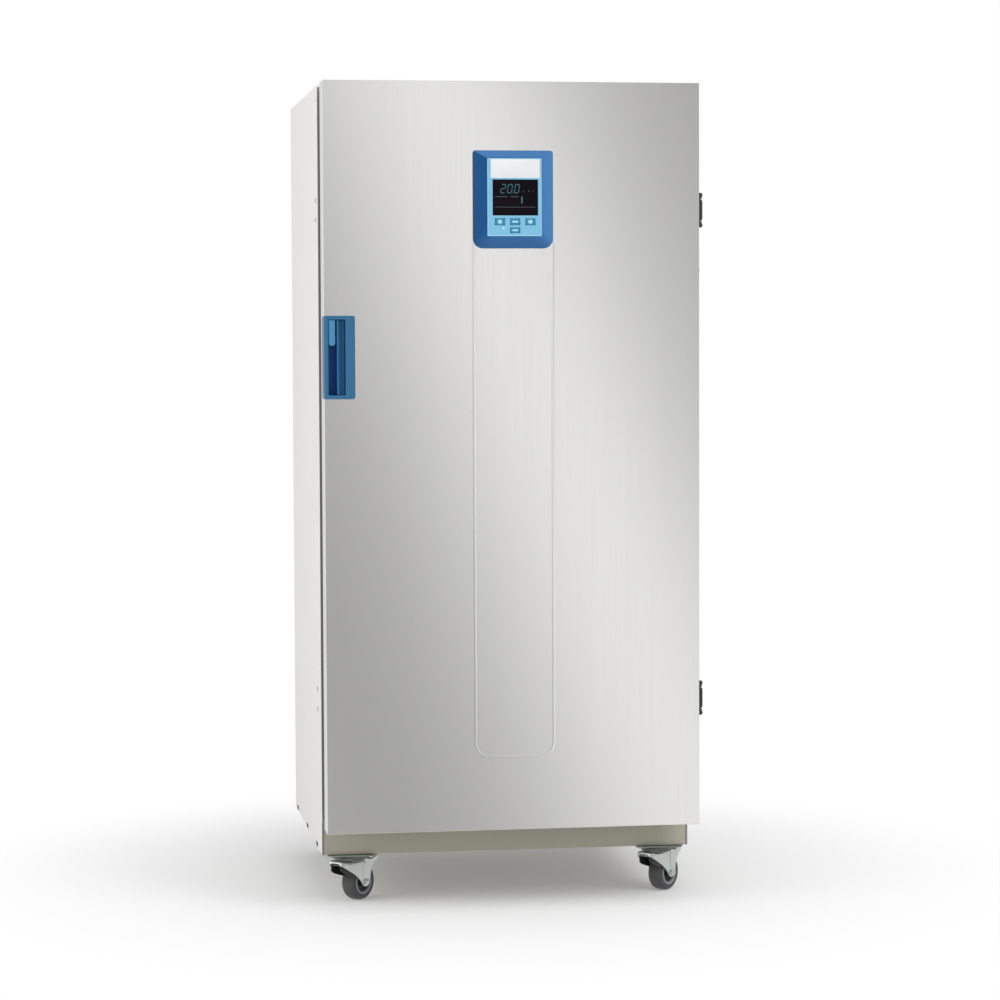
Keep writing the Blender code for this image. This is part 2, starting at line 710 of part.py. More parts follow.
def base_frame():
    """The base tray, with the steel strip that shows under the door."""
    strip_back = CABINET_FRONT - GAP
    strip_front = strip_back - SHEET
    rear = REAR_PANEL_INNER - GAP
    tongue = HALF_WIDTH - SIDE_RETURN - GAP
    strip = box(
        "base_frame",
        (-HALF_WIDTH, strip_front, CASTER_HEIGHT),
        (HALF_WIDTH, strip_back, STRIP_TOP),
        "base_steel",
    )
    plate = box(
        "base_plate",
        (-INNER_HALF_WIDTH, BODY_FRONT_INNER, CASTER_HEIGHT),
        (INNER_HALF_WIDTH, rear, BASE_TOP),
    )
    lip = box(
        "base_lip",
        (-tongue, (strip_front + strip_back) / 2, CASTER_HEIGHT),
        (tongue, BODY_FRONT_INNER + SHEET, BASE_TOP),
    )
    flanges = boxes(
        "base_flanges",
        [
            (
                (sign * INNER_HALF_WIDTH - (sign > 0) * SHEET, BODY_FRONT_INNER, CASTER_HEIGHT + SHEET),
                (sign * INNER_HALF_WIDTH + (sign < 0) * SHEET, rear, BASE_TOP + BASE_FLANGE),
            )
            for sign in (-1, 1)
        ],
    )
    return join(strip, plate, lip, flanges)


def front_collar():
    """The dark frame on the cabinet's front, open round the chamber and closed over the machinery."""
    half = HALF_DOOR - COLLAR_SIDE_INSET
    plate = box(
        "front_collar",
        (-half, COLLAR_FRONT, COLLAR_BOTTOM),
        (half, COLLAR_BACK, CABINET_TOP - COLLAR_TOP_INSET),
        "dark_plastic",
    )
    mouth = box(
        "collar_mouth",
        (-MOUTH_HALF_WIDTH, COLLAR_FRONT - SHEET, MOUTH_BOTTOM),
        (MOUTH_HALF_WIDTH, COLLAR_BACK + SHEET, MOUTH_TOP),
    )
    depth = GLASS_PIN_LENGTH + 0.002
    bore = GLASS_PIN_RADIUS + GAP
    lower = cylinder(
        "lower_glass_bush", (GLASS_POST_X, GLASS_POST_Y, MOUTH_BOTTOM - depth), "Z", 2 * depth, bore, steps=16
    )
    upper = cylinder(
        "upper_glass_bush", (GLASS_POST_X, GLASS_POST_Y, MOUTH_TOP - depth), "Z", 2 * depth, bore, steps=16
    )
    return cut(plate, mouth, lower, upper)


def insulation_jacket():
    """The foam between the outer sheets and the chamber liner."""
    rear = REAR_PANEL_INNER - GAP
    shoulder = CABINET_TOP - TOP_FLANGE - GAP
    inset = SHEET + GAP
    foam = box(
        "insulation_jacket",
        (-INNER_HALF_WIDTH, BODY_FRONT_INNER, INSULATION_BOTTOM),
        (INNER_HALF_WIDTH, rear, shoulder),
        "foam",
    )
    crown = box(
        "insulation_crown",
        (-INNER_HALF_WIDTH + inset, BODY_FRONT_INNER + inset, shoulder - TOP_FLANGE),
        (INNER_HALF_WIDTH - inset, rear - inset, CABINET_TOP - SHEET - GAP),
    )
    wall = SHEET + GAP
    pocket = box(
        "insulation_pocket",
        (-HALF_CHAMBER - wall, CABINET_FRONT - wall, CHAMBER_FLOOR - wall),
        (HALF_CHAMBER + wall, CHAMBER_BACK + wall, CHAMBER_TOP + wall),
    )
    return cut(join(foam, crown), pocket)


def chamber_liner():
    """The stainless box that is the chamber, with a flange round its mouth."""
    shell = box(
        "chamber_liner",
        (-HALF_CHAMBER - SHEET, CABINET_FRONT, CHAMBER_FLOOR - SHEET),
        (HALF_CHAMBER + SHEET, CHAMBER_BACK + SHEET, CHAMBER_TOP + SHEET),
        "brushed_steel",
    )
    flange = box(
        "liner_flange",
        (-HALF_CHAMBER - LINER_FLANGE, CABINET_FRONT, CHAMBER_FLOOR - LINER_FLANGE),
        (HALF_CHAMBER + LINER_FLANGE, CABINET_FRONT + SHEET, CHAMBER_TOP + LINER_FLANGE),
    )
    hollow = box(
        "liner_hollow",
        (-HALF_CHAMBER, CABINET_FRONT - SHEET, CHAMBER_FLOOR),
        (HALF_CHAMBER, CHAMBER_BACK, CHAMBER_TOP),
    )
    return cut(join(shell, flange), hollow)


def shelf_rack(side):
    """An upright plate on the chamber's side wall, with a row of ledges folded out of it."""
    sign = -1 if side == "left" else 1
    outer = HALF_CHAMBER - GAP
    inner = outer - RACK_SHEET
    tip = inner - RACK_LEDGE
    back = SHELF_FRONT + SHELF_DEPTH
    top = ledge_top(RACK_LEDGES - 1) + RACK_FOOT
    low, high = sorted((sign * inner, sign * outer))
    plate = box(
        f"{side}_shelf_rack",
        (low, SHELF_FRONT, CHAMBER_FLOOR + RACK_FOOT),
        (high, back, top),
        "brushed_steel",
    )
    low, high = sorted((sign * tip, sign * (inner + RACK_SHEET / 2)))
    ledges = [
        (
            (low, SHELF_FRONT + GAP, ledge_top(level) - RACK_LEDGE_THICKNESS),
            (high, back - GAP, ledge_top(level)),
        )
        for level in range(RACK_LEDGES)
    ]
    return join(plate, boxes(f"{side}_rack_ledges", ledges))


def ledge_top(level):
    return CHAMBER_FLOOR + RACK_FOOT + RACK_FIRST_LEDGE + level * RACK_SPACING


def shelf(name, level):
    """A slotted shelf plate with a lip at the front and the rear, resting on two ledges."""
    low = ledge_top(level) + GAP
    high = low + SHELF_THICKNESS
    half = SHELF_HALF_WIDTH
    back = SHELF_FRONT + SHELF_DEPTH
    plate = box(name, (-half, SHELF_FRONT, low), (half, back, high), "brushed_steel")
    lip_half = half - RACK_LEDGE
    lips = boxes(
        f"{name}_lips",
        [
            ((-lip_half, edge, high - SHELF_LIP), (lip_half, edge + SHELF_THICKNESS, high - SHELF_THICKNESS / 2))
            for edge in (SHELF_FRONT, back - SHELF_THICKNESS)
        ],
    )
    columns, rows = SHELF_SLOT_COUNT
    middle = (SHELF_FRONT + back) / 2
    across_space = 2 * (half - SHELF_SLOT_BORDERS[0]) / columns
    along_space = (SHELF_DEPTH - 2 * SHELF_SLOT_BORDERS[1]) / rows
    slots = []
    for column in range(columns):
        across = (column - (columns - 1) / 2) * across_space
        for row in range(rows):
            along = middle + (row - (rows - 1) / 2) * along_space
            half_length = (across_space - SHELF_SLOT_WEBS[0]) / 2
            half_width = (along_space - SHELF_SLOT_WEBS[1]) / 2
            slots.append(
                (
                    (across - half_length, along - half_width, low - SHELF_THICKNESS),
                    (across + half_length, along + half_width, high + SHELF_THICKNESS),
                )
            )
    return cut(join(plate, lips), boxes(f"{name}_slots", slots))


def air_duct_panel():
    """A channel on the chamber's back wall, slotted above for the fan and below for the outlet."""
    half = DUCT_WIDTH / 2
    back = CHAMBER_BACK - GAP
    points = [
        (-half, back),
        (-half, DUCT_FRONT),
        (half, DUCT_FRONT),
        (half, back),
        (half - SHEET, back),
        (half - SHEET, DUCT_FRONT + SHEET),
        (-half + SHEET, DUCT_FRONT + SHEET),
        (-half + SHEET, back),
    ]
    bottom = CHAMBER_FLOOR + DUCT_BOTTOM
    height = CHAMBER_HEIGHT - DUCT_BOTTOM - DUCT_TOP
    duct = outline("air_duct_panel", points, "XY", bottom, height, "brushed_steel")
    slots = []
    rows = [FAN_Z + (i - (DUCT_INTAKE_SLOTS - 1) / 2) * DUCT_SLOT_SPACING for i in range(DUCT_INTAKE_SLOTS)]
    rows += [bottom + (i + 1) * DUCT_SLOT_SPACING for i in range(DUCT_OUTLET_SLOTS)]
    for row in rows:
        slots.append(
            (
                (-DUCT_SLOT[0] / 2, DUCT_FRONT - SHEET, row - DUCT_SLOT[1] / 2),
                (DUCT_SLOT[0] / 2, DUCT_FRONT + 2 * SHEET, row + DUCT_SLOT[1] / 2),
            )
        )
    probe_hole = cylinder(
        "probe_hole",
        (PROBE_X, DUCT_FRONT - SHEET, PROBE_Z),
        "Y",
        3 * SHEET,
        PROBE_RADIUS + GAP,
        steps=12,
    )
    return cut(duct, boxes("duct_slots", slots), probe_hole)


def temperature_probe():
    height = PROBE_Z
    tip = DUCT_FRONT - PROBE_LENGTH * 3 / 4
    rod = cylinder("temperature_probe", (PROBE_X, tip, height), "Y", PROBE_LENGTH, PROBE_RADIUS, "pin_steel", 12)
    collar_length = PROBE_RADIUS
    collar = cylinder(
        "probe_collar",
        (PROBE_X, DUCT_FRONT - GAP - collar_length, height),
        "Y",
        collar_length,
        PROBE_COLLAR_RADIUS,
        steps=16,
    )
    return join(rod, collar)


def fan(name, centre, radius, material):
    """A fan whose axis runs along Y, with flat pitched blades and a bore for its shaft."""
    across, middle, up = centre
    start = middle - FAN_HUB_LENGTH / 2
    hub = cylinder(name, (across, start, up), "Y", FAN_HUB_LENGTH, FAN_HUB_RADIUS, material)
    bm = bmesh.new()
    span = radius - FAN_HUB_RADIUS / 2
    chord = radius * 0.55
    for blade in range(FAN_BLADES):
        spin = Matrix.Rotation(math.tau * blade / FAN_BLADES, 4, "Y")
        out = Matrix.Translation((0, 0, FAN_HUB_RADIUS / 2 + span / 2))
        pitch = Matrix.Rotation(FAN_BLADE_PITCH, 4, "Z")
        size = Matrix.Diagonal((chord, FAN_BLADE_THICKNESS, span, 1.0))
        bmesh.ops.create_cube(bm, size=1.0, matrix=Matrix.Translation(centre) @ spin @ out @ pitch @ size)
    mesh = bpy.data.meshes.new(f"{name}_blades")
    bm.to_mesh(mesh)
    bm.free()
    blades = place(f"{name}_blades", mesh)
    rim = cylinder(f"{name}_reach", (across, middle - radius, up), "Y", 2 * radius, radius, steps=32)
    combine(blades, rim, "INTERSECT")
    bore_radius = FAN_SHAFT_RADIUS + FAN_BORE_CLEARANCE
    bore = cylinder(f"{name}_bore", (across, middle - radius, up), "Y", 2 * radius, bore_radius, steps=16)
    return cut(join(hub, blades), bore)


def chamber_fan_motor():
    plate_size, plate_thickness = FAN_MOTOR_PLATE
    plate_back = CHAMBER_BACK - GAP
    plate_front = plate_back - plate_thickness
    plate = box(
        "chamber_fan_motor",
        (-plate_size / 2, plate_front, FAN_Z - plate_size / 2),
        (plate_size / 2, plate_back, FAN_Z + plate_size / 2),
        "aluminium",
    )
    can_front = plate_front - FAN_MOTOR_LENGTH
    can = cylinder(
        "fan_motor_can",
        (0, can_front, FAN_Z),
        "Y",
        FAN_MOTOR_LENGTH + plate_thickness / 2,
        FAN_MOTOR_RADIUS,
    )
    shaft = cylinder(
        "fan_motor_shaft",
        (0, can_front - FAN_SHAFT_LENGTH, FAN_Z),
        "Y",
        FAN_SHAFT_LENGTH + plate_thickness,
        FAN_SHAFT_RADIUS,
        steps=16,
    )
    return join(plate, can, shaft)


def chamber_fan_centre():
    can_front = CHAMBER_BACK - GAP - FAN_MOTOR_PLATE[1] - FAN_MOTOR_LENGTH
    return Vector((0, can_front - FAN_SHAFT_LENGTH / 2, FAN_Z))


def finned_block(name, low, size, fins, material):
    """Upright fins that stand on a back plate."""
    across, deep, up = size
    pitch = across / fins
    left, front, bottom = low
    back = front + deep
    spine = back - deep / 4
    block = box(name, (left, spine, bottom), (left + across, back, bottom + up), material)
    blades = [
        (
            (left + (i + 0.25) * pitch, front, bottom + GAP),
            (left + (i + 0.75) * pitch, spine + deep / 8, bottom + up - GAP),
        )
        for i in range(fins)
    ]
    return join(block, boxes(f"{name}_fins", blades))


def evaporator():
    across, deep, _ = EVAPORATOR_SIZE
    low = (-across / 2, CHAMBER_BACK - GAP - deep, EVAPORATOR_BOTTOM)
    return finned_block("evaporator", low, EVAPORATOR_SIZE, EVAPORATOR_FINS, "aluminium")


def heater():
    """A tubular heater bent into a serpentine, on two posts from the back wall."""
    left, right = -HEATER_WIDTH / 2, HEATER_WIDTH / 2
    bend = HEATER_SPACING / 2
    route = []
    for turn in range(HEATER_PASSES):
        height = turn * HEATER_SPACING
        forward = turn % 2 == 0
        start, end = (left, right) if forward else (right, left)
        route += [(start, height), (end, height)]
        if turn < HEATER_PASSES - 1:
            low, high = (-math.pi / 2, math.pi / 2) if forward else (1.5 * math.pi, 0.5 * math.pi)
            route += arc((end, height + bend), bend, low, high, 8)[1:-1]
    curve = bpy.data.curves.new("heater", "CURVE")
    curve.dimensions = "3D"
    curve.bevel_depth = HEATER_RADIUS
    curve.bevel_resolution = 1
    curve.use_fill_caps = True
    spline = curve.splines.new("POLY")
    spline.points.add(len(route) - 1)
    wall = CHAMBER_BACK - GAP
    for point, (across, up) in zip(spline.points, route):
        height = HEATER_BOTTOM + up
        point.co = (across, wall - HEATER_OFF_WALL, height, 1.0)
    guide = bpy.data.objects.new("heater_route", curve)
    CUTTERS.objects.link(guide)
    graph = bpy.context.evaluated_depsgraph_get()
    mesh = bpy.data.meshes.new_from_object(guide.evaluated_get(graph))
    bpy.data.objects.remove(guide, do_unlink=True)
    bm = bmesh.new()
    bm.from_mesh(mesh)
    bmesh.ops.remove_doubles(bm, verts=bm.verts, dist=1e-6)
    bm.to_mesh(mesh)
    bm.free()
    tube = place("heater", mesh, "pin_steel")
    smooth(tube)
    post = HEATER_RADIUS * 0.8
    bottom = HEATER_BOTTOM - HEATER_RADIUS / 2
    top = bottom + (HEATER_PASSES - 1) * HEATER_SPACING + HEATER_RADIUS
    posts = boxes(
        "heater_posts",
        [
            ((across - post, wall - HEATER_OFF_WALL, bottom), (across + post, wall, top))
            for across in (left / 2, right / 2)
        ],
    )
    return join(tube, posts)


def compressor():
    """A welded compressor can on its feet plate."""
    across, deep, thick = COMPRESSOR_FEET
    low = BASE_TOP + GAP
    plate = box(
        "compressor",
        (COMPRESSOR_X - across / 2, COMPRESSOR_Y - deep / 2, low),
        (COMPRESSOR_X + across / 2, COMPRESSOR_Y + deep / 2, low + thick),
        "compressor_black",
    )
    dome = COMPRESSOR_RADIUS * 0.45
    bottom = low + thick / 2
    side_top = bottom + COMPRESSOR_BODY - dome
    cap = [
        (COMPRESSOR_RADIUS * math.cos(a), side_top + dome * math.sin(a))
        for a in (math.radians(90 * i / 5) for i in range(5, 0, -1))
    ]
    cap[0] = (0.0, side_top + dome)
    profile = cap + [(COMPRESSOR_RADIUS, side_top), (COMPRESSOR_RADIUS, bottom), (0.0, bottom)]
    can = turned("compressor_can", profile, 24)
    can.location = (COMPRESSOR_X, COMPRESSOR_Y, 0.0)
    return join(plate, can)


def condenser_fan_centre():
    back = CONDENSER_Y + CONDENSER_SIZE[1] + CONDENSER_MOTOR[1]
    height = BASE_TOP + GAP + CONDENSER_SIZE[2] / 2
    return Vector((CONDENSER_X, back + CONDENSER_SHAFT_LENGTH / 2, height))


def condenser():
    """The condenser coil block, with the motor of its fan on the back plate."""
    across, deep, up = CONDENSER_SIZE
    low = (CONDENSER_X - across / 2, CONDENSER_Y, BASE_TOP + GAP)
    block = finned_block("condenser", low, CONDENSER_SIZE, CONDENSER_FINS, "galvanised_steel")
    radius, length = CONDENSER_MOTOR
    back = CONDENSER_Y + deep
    height = low[2] + up / 2
    start = back - deep / 8
    motor = cylinder(
        "condenser_motor", (CONDENSER_X, start, height), "Y", length + deep / 8, radius, steps=20
    )
    shaft = cylinder(
        "condenser_shaft",
        (CONDENSER_X, back, height),
        "Y",
        length + CONDENSER_SHAFT_LENGTH,
        FAN_SHAFT_RADIUS,
        steps=16,
    )
    return join(block, motor, shaft)


def strike_plate():
    """The plate on the collar with the headed stud that the latch drops over."""
    plate_back = COLLAR_FRONT - GAP
    plate_front = plate_back - STRIKE_PLATE
    across, up = STRIKE_PLATE_SIZE
    plate = box(
        "strike_plate",
        (LATCH_X - across / 2, plate_front, STRIKE_Z - up / 2),
        (LATCH_X + across / 2, plate_back, STRIKE_Z + up / 2),
        "zinc",
    )
    head_front = LATCH_BACK - LATCH_THICKNESS / 2 - GAP - STRIKE_HEAD_LENGTH
    stud = cylinder(
        "strike_stud",
        (LATCH_X, head_front + STRIKE_HEAD_LENGTH / 2, STRIKE_Z),
        "Y",
        plate_back - head_front - STRIKE_HEAD_LENGTH / 2 - STRIKE_PLATE / 2,
        STRIKE_STUD_RADIUS,
        steps=12,
    )
    head = cylinder(
        "strike_head", (LATCH_X, head_front, STRIKE_Z), "Y", STRIKE_HEAD_LENGTH, STRIKE_HEAD_RADIUS, steps=16
    )
    return join(plate, stud, head)


def hinge_bracket(level):
    """The cabinet's half of a side hinge: a strap on the side panel, two end knuckles and the pin."""
    middle = HINGE_HEIGHTS[level]
    strap_inner = HALF_WIDTH + GAP
    strap_outer = strap_inner + HINGE_STRAP
    half = HINGE_STRAP_HEIGHT / 2
    panel_front = CABINET_FRONT + SIDE_RETURN / 4
    strap = box(
        f"{level}_hinge_bracket",
        (strap_inner, panel_front, middle - half),
        (strap_outer, HINGE_STRAP_END, middle + half),
        "black_plastic",
    )
    pieces = []
    barrel_half = HINGE_BARREL_LENGTH / 2 + GAP
    for sign in (-1, 1):
        near = middle + sign * barrel_half
        far = near + sign * HINGE_END_LENGTH
        low, high = min(near, far), max(near, far)
        knuckle = cylinder(
            f"{level}_knuckle_{'top' if sign > 0 else 'bottom'}",
            (HINGE_PIN_X, HINGE_PIN_Y, low),
            "Z",
            HINGE_END_LENGTH,
            HINGE_END_RADIUS,
            steps=20,
        )
        arm = box(
            f"{level}_arm_{'top' if sign > 0 else 'bottom'}",
            (strap_inner + HINGE_STRAP / 4, HINGE_PIN_Y, low),
            (strap_outer + HINGE_STRAP / 4, panel_front + SIDE_RETURN, high),
        )
        web_low, web_high = min(middle + sign * half / 2, far), max(middle + sign * half / 2, far)
        web = box(
            f"{level}_web_{'top' if sign > 0 else 'bottom'}",
            (strap_inner + HINGE_STRAP / 8, panel_front + SIDE_RETURN / 4, web_low),
            (strap_outer + HINGE_STRAP / 8, HINGE_STRAP_END - SIDE_RETURN / 4, web_high),
        )
        pieces += [knuckle, arm, web]
    pin = cylinder(
        f"{level}_hinge_pin",
        (HINGE_PIN_X, HINGE_PIN_Y, middle - barrel_half - HINGE_END_LENGTH / 2),
        "Z",
        2 * barrel_half + HINGE_END_LENGTH,
        HINGE_PIN_RADIUS,
        steps=16,
    )
    return join(strap, *pieces, pin)


def hinge_leaf(level):
    """The door's half of a side hinge: a plate on the door's edge and the middle barrel."""
    middle = HINGE_HEIGHTS[level]
    half = HINGE_BARREL_LENGTH / 2
    plate_inner = HALF_DOOR + GAP
    plate_back = HINGE_PIN_Y
    plate = box(
        f"{level}_door_hinge_leaf",
        (plate_inner, plate_back - HINGE_LEAF_LENGTH, middle - half),
        (plate_inner + HINGE_STRAP, plate_back, middle + half),
        "black_plastic",
    )
    barrel = cylinder(
        f"{level}_barrel", (HINGE_PIN_X, HINGE_PIN_Y, middle - half), "Z", 2 * half, HINGE_BARREL_RADIUS, steps=20
    )
    tongue = box(
        f"{level}_tongue",
        (plate_inner + HINGE_STRAP / 4, HINGE_PIN_Y - HINGE_BARREL_RADIUS, middle - half + HINGE_STRAP / 4),
        (HINGE_PIN_X, HINGE_PIN_Y - HINGE_PIN_RADIUS / 2, middle + half - HINGE_STRAP / 4),
    )
    bore = cylinder(
        f"{level}_bore",
        (HINGE_PIN_X, HINGE_PIN_Y, middle - 2 * half),
        "Z",
        4 * half,
        HINGE_PIN_RADIUS + HINGE_PIN_CLEARANCE,
        steps=16,
    )
    return cut(join(plate, barrel, tongue), bore)


def handle_box(margin):
    """Low and high corner of the handle housing, grown by a margin on every side."""
    low = (-HALF_DOOR - margin, DOOR_FRONT - HANDLE_PROUD - margin, HANDLE_BOTTOM - margin)
    high = (
        -HALF_DOOR + HANDLE_WIDTH + margin,
        DOOR_FRONT - HANDLE_PROUD + HANDLE_DEPTH + margin,
        HANDLE_TOP + margin,
    )
    return low, high


def door_skin():
    """The steel pan of the door: front sheet, four sides and a return round the back."""
    pan = box(
        "door_skin",
        (-HALF_DOOR, DOOR_FRONT, DOOR_BOTTOM),
        (HALF_DOOR, DOOR_SKIN_BACK, DOOR_TOP),
        "brushed_steel",
    )
    hollow = box(
        "door_skin_hollow",
        (-HALF_DOOR + SHEET, DOOR_FRONT + SHEET, DOOR_BOTTOM + SHEET),
        (HALF_DOOR - SHEET, DOOR_SKIN_BACK - SHEET, DOOR_TOP - SHEET),
    )
    opening = box(
        "door_skin_opening",
        (-HALF_DOOR + DOOR_RETURN, DOOR_FRONT + 2 * SHEET, DOOR_BOTTOM + DOOR_RETURN),
        (HALF_DOOR - DOOR_RETURN, DOOR_SKIN_BACK + SHEET, DOOR_TOP - DOOR_RETURN),
    )
    notch = box("handle_notch", *handle_box(GAP))
    return cut(pan, hollow, opening, notch)


def door_insulation():
    wall = SHEET + GAP
    foam = box(
        "door_insulation",
        (-HALF_DOOR + wall, DOOR_FRONT + wall, DOOR_BOTTOM + wall),
        (HALF_DOOR - wall, DOOR_SKIN_BACK - wall, DOOR_TOP - wall),
        "foam",
    )
    inset = max(DOOR_RETURN, DOOR_LINER_INSET + DOOR_LINER_WALL) + GAP
    core = box(
        "door_core",
        (-HALF_DOOR + inset, DOOR_FRONT + 2 * wall, DOOR_BOTTOM + inset),
        (HALF_DOOR - inset, DOOR_LINER_BACK - DOOR_LINER_WALL - GAP, DOOR_TOP - inset),
    )
    notch = box("foam_notch", *handle_box(GAP))
    return cut(join(foam, core), notch)


def door_liner():
    """The dark inner pan of the door, with the boss and pin that carry the latch."""
    inset = DOOR_LINER_INSET
    pan = box(
        "door_liner",
        (-HALF_DOOR + inset, DOOR_LINER_FRONT, DOOR_BOTTOM + inset),
        (HALF_DOOR - inset, DOOR_LINER_BACK, DOOR_TOP - inset),
        "dark_plastic",
    )
    inner = inset + DOOR_LINER_WALL
    hollow = box(
        "door_liner_hollow",
        (-HALF_DOOR + inner, DOOR_LINER_FRONT - DOOR_LINER_WALL, DOOR_BOTTOM + inner),
        (HALF_DOOR - inner, DOOR_LINER_BACK - DOOR_LINER_WALL, DOOR_TOP - inner),
    )
    start = DOOR_LINER_BACK - DOOR_LINER_WALL / 2
    boss = cylinder(
        "latch_boss",
        (LATCH_X, start, LATCH_PIVOT_Z),
        "Y",
        DOOR_LINER_WALL / 2 + LATCH_BOSS_LENGTH,
        LATCH_BOSS_RADIUS,
        steps=16,
    )
    pin = cylinder(
        "latch_pin",
        (LATCH_X, DOOR_LINER_BACK, LATCH_PIVOT_Z),
        "Y",
        LATCH_BOSS_LENGTH + 2 * LATCH_THICKNESS,
        LATCH_PIN_RADIUS,
        steps=16,
    )
    return join(cut(pan, hollow), boss, pin)


def door_gasket():
    inset, width = GASKET_INSET, GASKET_WIDTH
    ring = box(
        "door_gasket",
        (-HALF_DOOR + inset, GASKET_FRONT, DOOR_BOTTOM + inset),
        (HALF_DOOR - inset, GASKET_BACK, DOOR_TOP - inset),
        "gasket_rubber",
    )
    inner = inset + width
    opening = box(
        "gasket_opening",
        (-HALF_DOOR + inner, GASKET_FRONT - GAP, DOOR_BOTTOM + inner),
        (HALF_DOOR - inner, GASKET_BACK + GAP, DOOR_TOP - inner),
    )
    return cut(ring, opening)


def display_bezel():
    """A bevelled frame that stands proud of the door, with a stepped opening for the keypad."""
    half = BEZEL_WIDTH / 2
    bottom = BEZEL_CENTRE_Z - BEZEL_HEIGHT / 2
    top = BEZEL_CENTRE_Z + BEZEL_HEIGHT / 2
    keypad = keypad_edges()
    base = rounded_rectangle(-half, half, bottom, top, BEZEL_BOTTOM_RADIUS, BEZEL_TOP_RADIUS)
    rim = BEZEL_RIM
    front = rounded_rectangle(keypad[0] - rim, keypad[1] + rim, keypad[2] - rim, keypad[3] + rim, rim, rim)
    door_face = DOOR_FRONT - GAP
    loops = [
        [(across, door_face, up) for across, up in base],
        [(across, door_face - BEZEL_WALL, up) for across, up in base],
        [(across, BEZEL_FRONT, up) for across, up in front],
    ]
    frame = loft("display_bezel", loops, "blue_plastic")
    smooth(frame)
    floor = BEZEL_FRONT + KEYPAD_THICKNESS + 2 * GAP
    pocket = box(
        "keypad_pocket",
        (keypad[0] - GAP, BEZEL_FRONT - GAP, keypad[2] - GAP),
        (keypad[1] + GAP, floor, keypad[3] + GAP),
    )
    ledge = KEYPAD_LEDGE
    opening = box(
        "keypad_opening",
        (keypad[0] + ledge, BEZEL_FRONT, keypad[2] + ledge),
        (keypad[1] - ledge, door_face + GAP, keypad[3] - ledge),
    )
    return cut(frame, pocket, opening)


def keypad_edges():
    """Left, right, bottom and top of the keypad plate."""
    half_width, half_height = KEYPAD_WIDTH / 2, KEYPAD_HEIGHT / 2
    return (
        KEYPAD_CENTRE_X - half_width,
        KEYPAD_CENTRE_X + half_width,
        KEYPAD_CENTRE_Z - half_height,
        KEYPAD_CENTRE_Z + half_height,
    )


def keys():
    """Name, centre and height of each key: three in a row and one below."""
    row = [(f"key_{side}", KEY_ROW_X + step * KEY_SPACING, KEY_ROW_Z, KEY_HEIGHT)
           for side, step in (("left", -1), ("middle", 0), ("right", 1))]
    return row + [("key_lower", KEY_ROW_X, LOWER_KEY_Z, LOWER_KEY_HEIGHT)]


def keypad_panel():
    left, right, bottom, top = keypad_edges()
    front = BEZEL_FRONT + GAP
    back = front + KEYPAD_THICKNESS
    plate = box("keypad_panel", (left, front, bottom), (right, back, top), "light_blue_plastic")
    holes = [
        (
            (across - KEY_WIDTH / 2 - GAP, front - GAP, up - height / 2 - GAP),
            (across + KEY_WIDTH / 2 + GAP, back + GAP, up + height / 2 + GAP),
        )
        for _, across, up, height in keys()
    ]
    half_width, half_height = WINDOW_WIDTH / 2 + GAP, WINDOW_HEIGHT / 2 + GAP
    holes.append(
        (
            (WINDOW_CENTRE_X - half_width, front - GAP, WINDOW_CENTRE_Z - half_height),
            (WINDOW_CENTRE_X + half_width, back + GAP, WINDOW_CENTRE_Z + half_height),
        )
    )
    return cut(plate, boxes("keypad_holes", holes))


def display_window():
    front = BEZEL_FRONT + GAP
    return box(
        "display_window",
        (WINDOW_CENTRE_X - WINDOW_WIDTH / 2, front, WINDOW_CENTRE_Z - WINDOW_HEIGHT / 2),
        (WINDOW_CENTRE_X + WINDOW_WIDTH / 2, front + KEYPAD_THICKNESS, WINDOW_CENTRE_Z + WINDOW_HEIGHT / 2),
        "display_glass",
    )


def key_cap(name, across, up, height):
    front = BEZEL_FRONT + GAP - KEY_PROUD
    return box(
        name,
        (across - KEY_WIDTH / 2, front, up - height / 2),
        (across + KEY_WIDTH / 2, front + KEY_DEPTH, up + height / 2),
        "key_plastic",
    )


def paddle_pivot():
    across = -HALF_DOOR + HANDLE_WIDTH - HANDLE_RIGHT_RIM - PADDLE_BARREL_RADIUS - 2 * GAP
    return across, DOOR_FRONT - HANDLE_PROUD + PADDLE_PIVOT_DEEP


def handle_housing():
    """The blue tub let into the door's free edge, with a finger recess and a tab at its top."""
    low, high = handle_box(0.0)
    tub = box("handle_housing", low, high, "blue_plastic")
    left = low[0] + HANDLE_LEFT_RIM
    right = high[0] - HANDLE_RIGHT_RIM
    bottom, top = HANDLE_BOTTOM + HANDLE_END_RIM, HANDLE_TOP - HANDLE_END_RIM
    recess = box(
        "handle_recess", (left, low[1] - SHEET, bottom), (right, high[1] - HANDLE_BACK_WALL, top)
    )
    tab = box(
        "handle_tab",
        (left - SHEET, low[1] + HANDLE_TAB_DEEP, top - HANDLE_TAB_HEIGHT),
        (left + HANDLE_TAB_WIDTH, high[1] - SHEET, top + SHEET),
    )
    across, along = paddle_pivot()
    reach = PADDLE_PIN_LENGTH + PADDLE_END_CLEARANCE
    sockets = [
        cylinder(
            f"paddle_socket_{end}",
            (across, along, start),
            "Z",
            2 * reach,
            PADDLE_PIN_RADIUS + GAP,
            steps=12,
        )
        for end, start in (("lower", bottom - reach), ("upper", top - reach))
    ]
    return cut(join(cut(tub, recess), tab), *sockets)


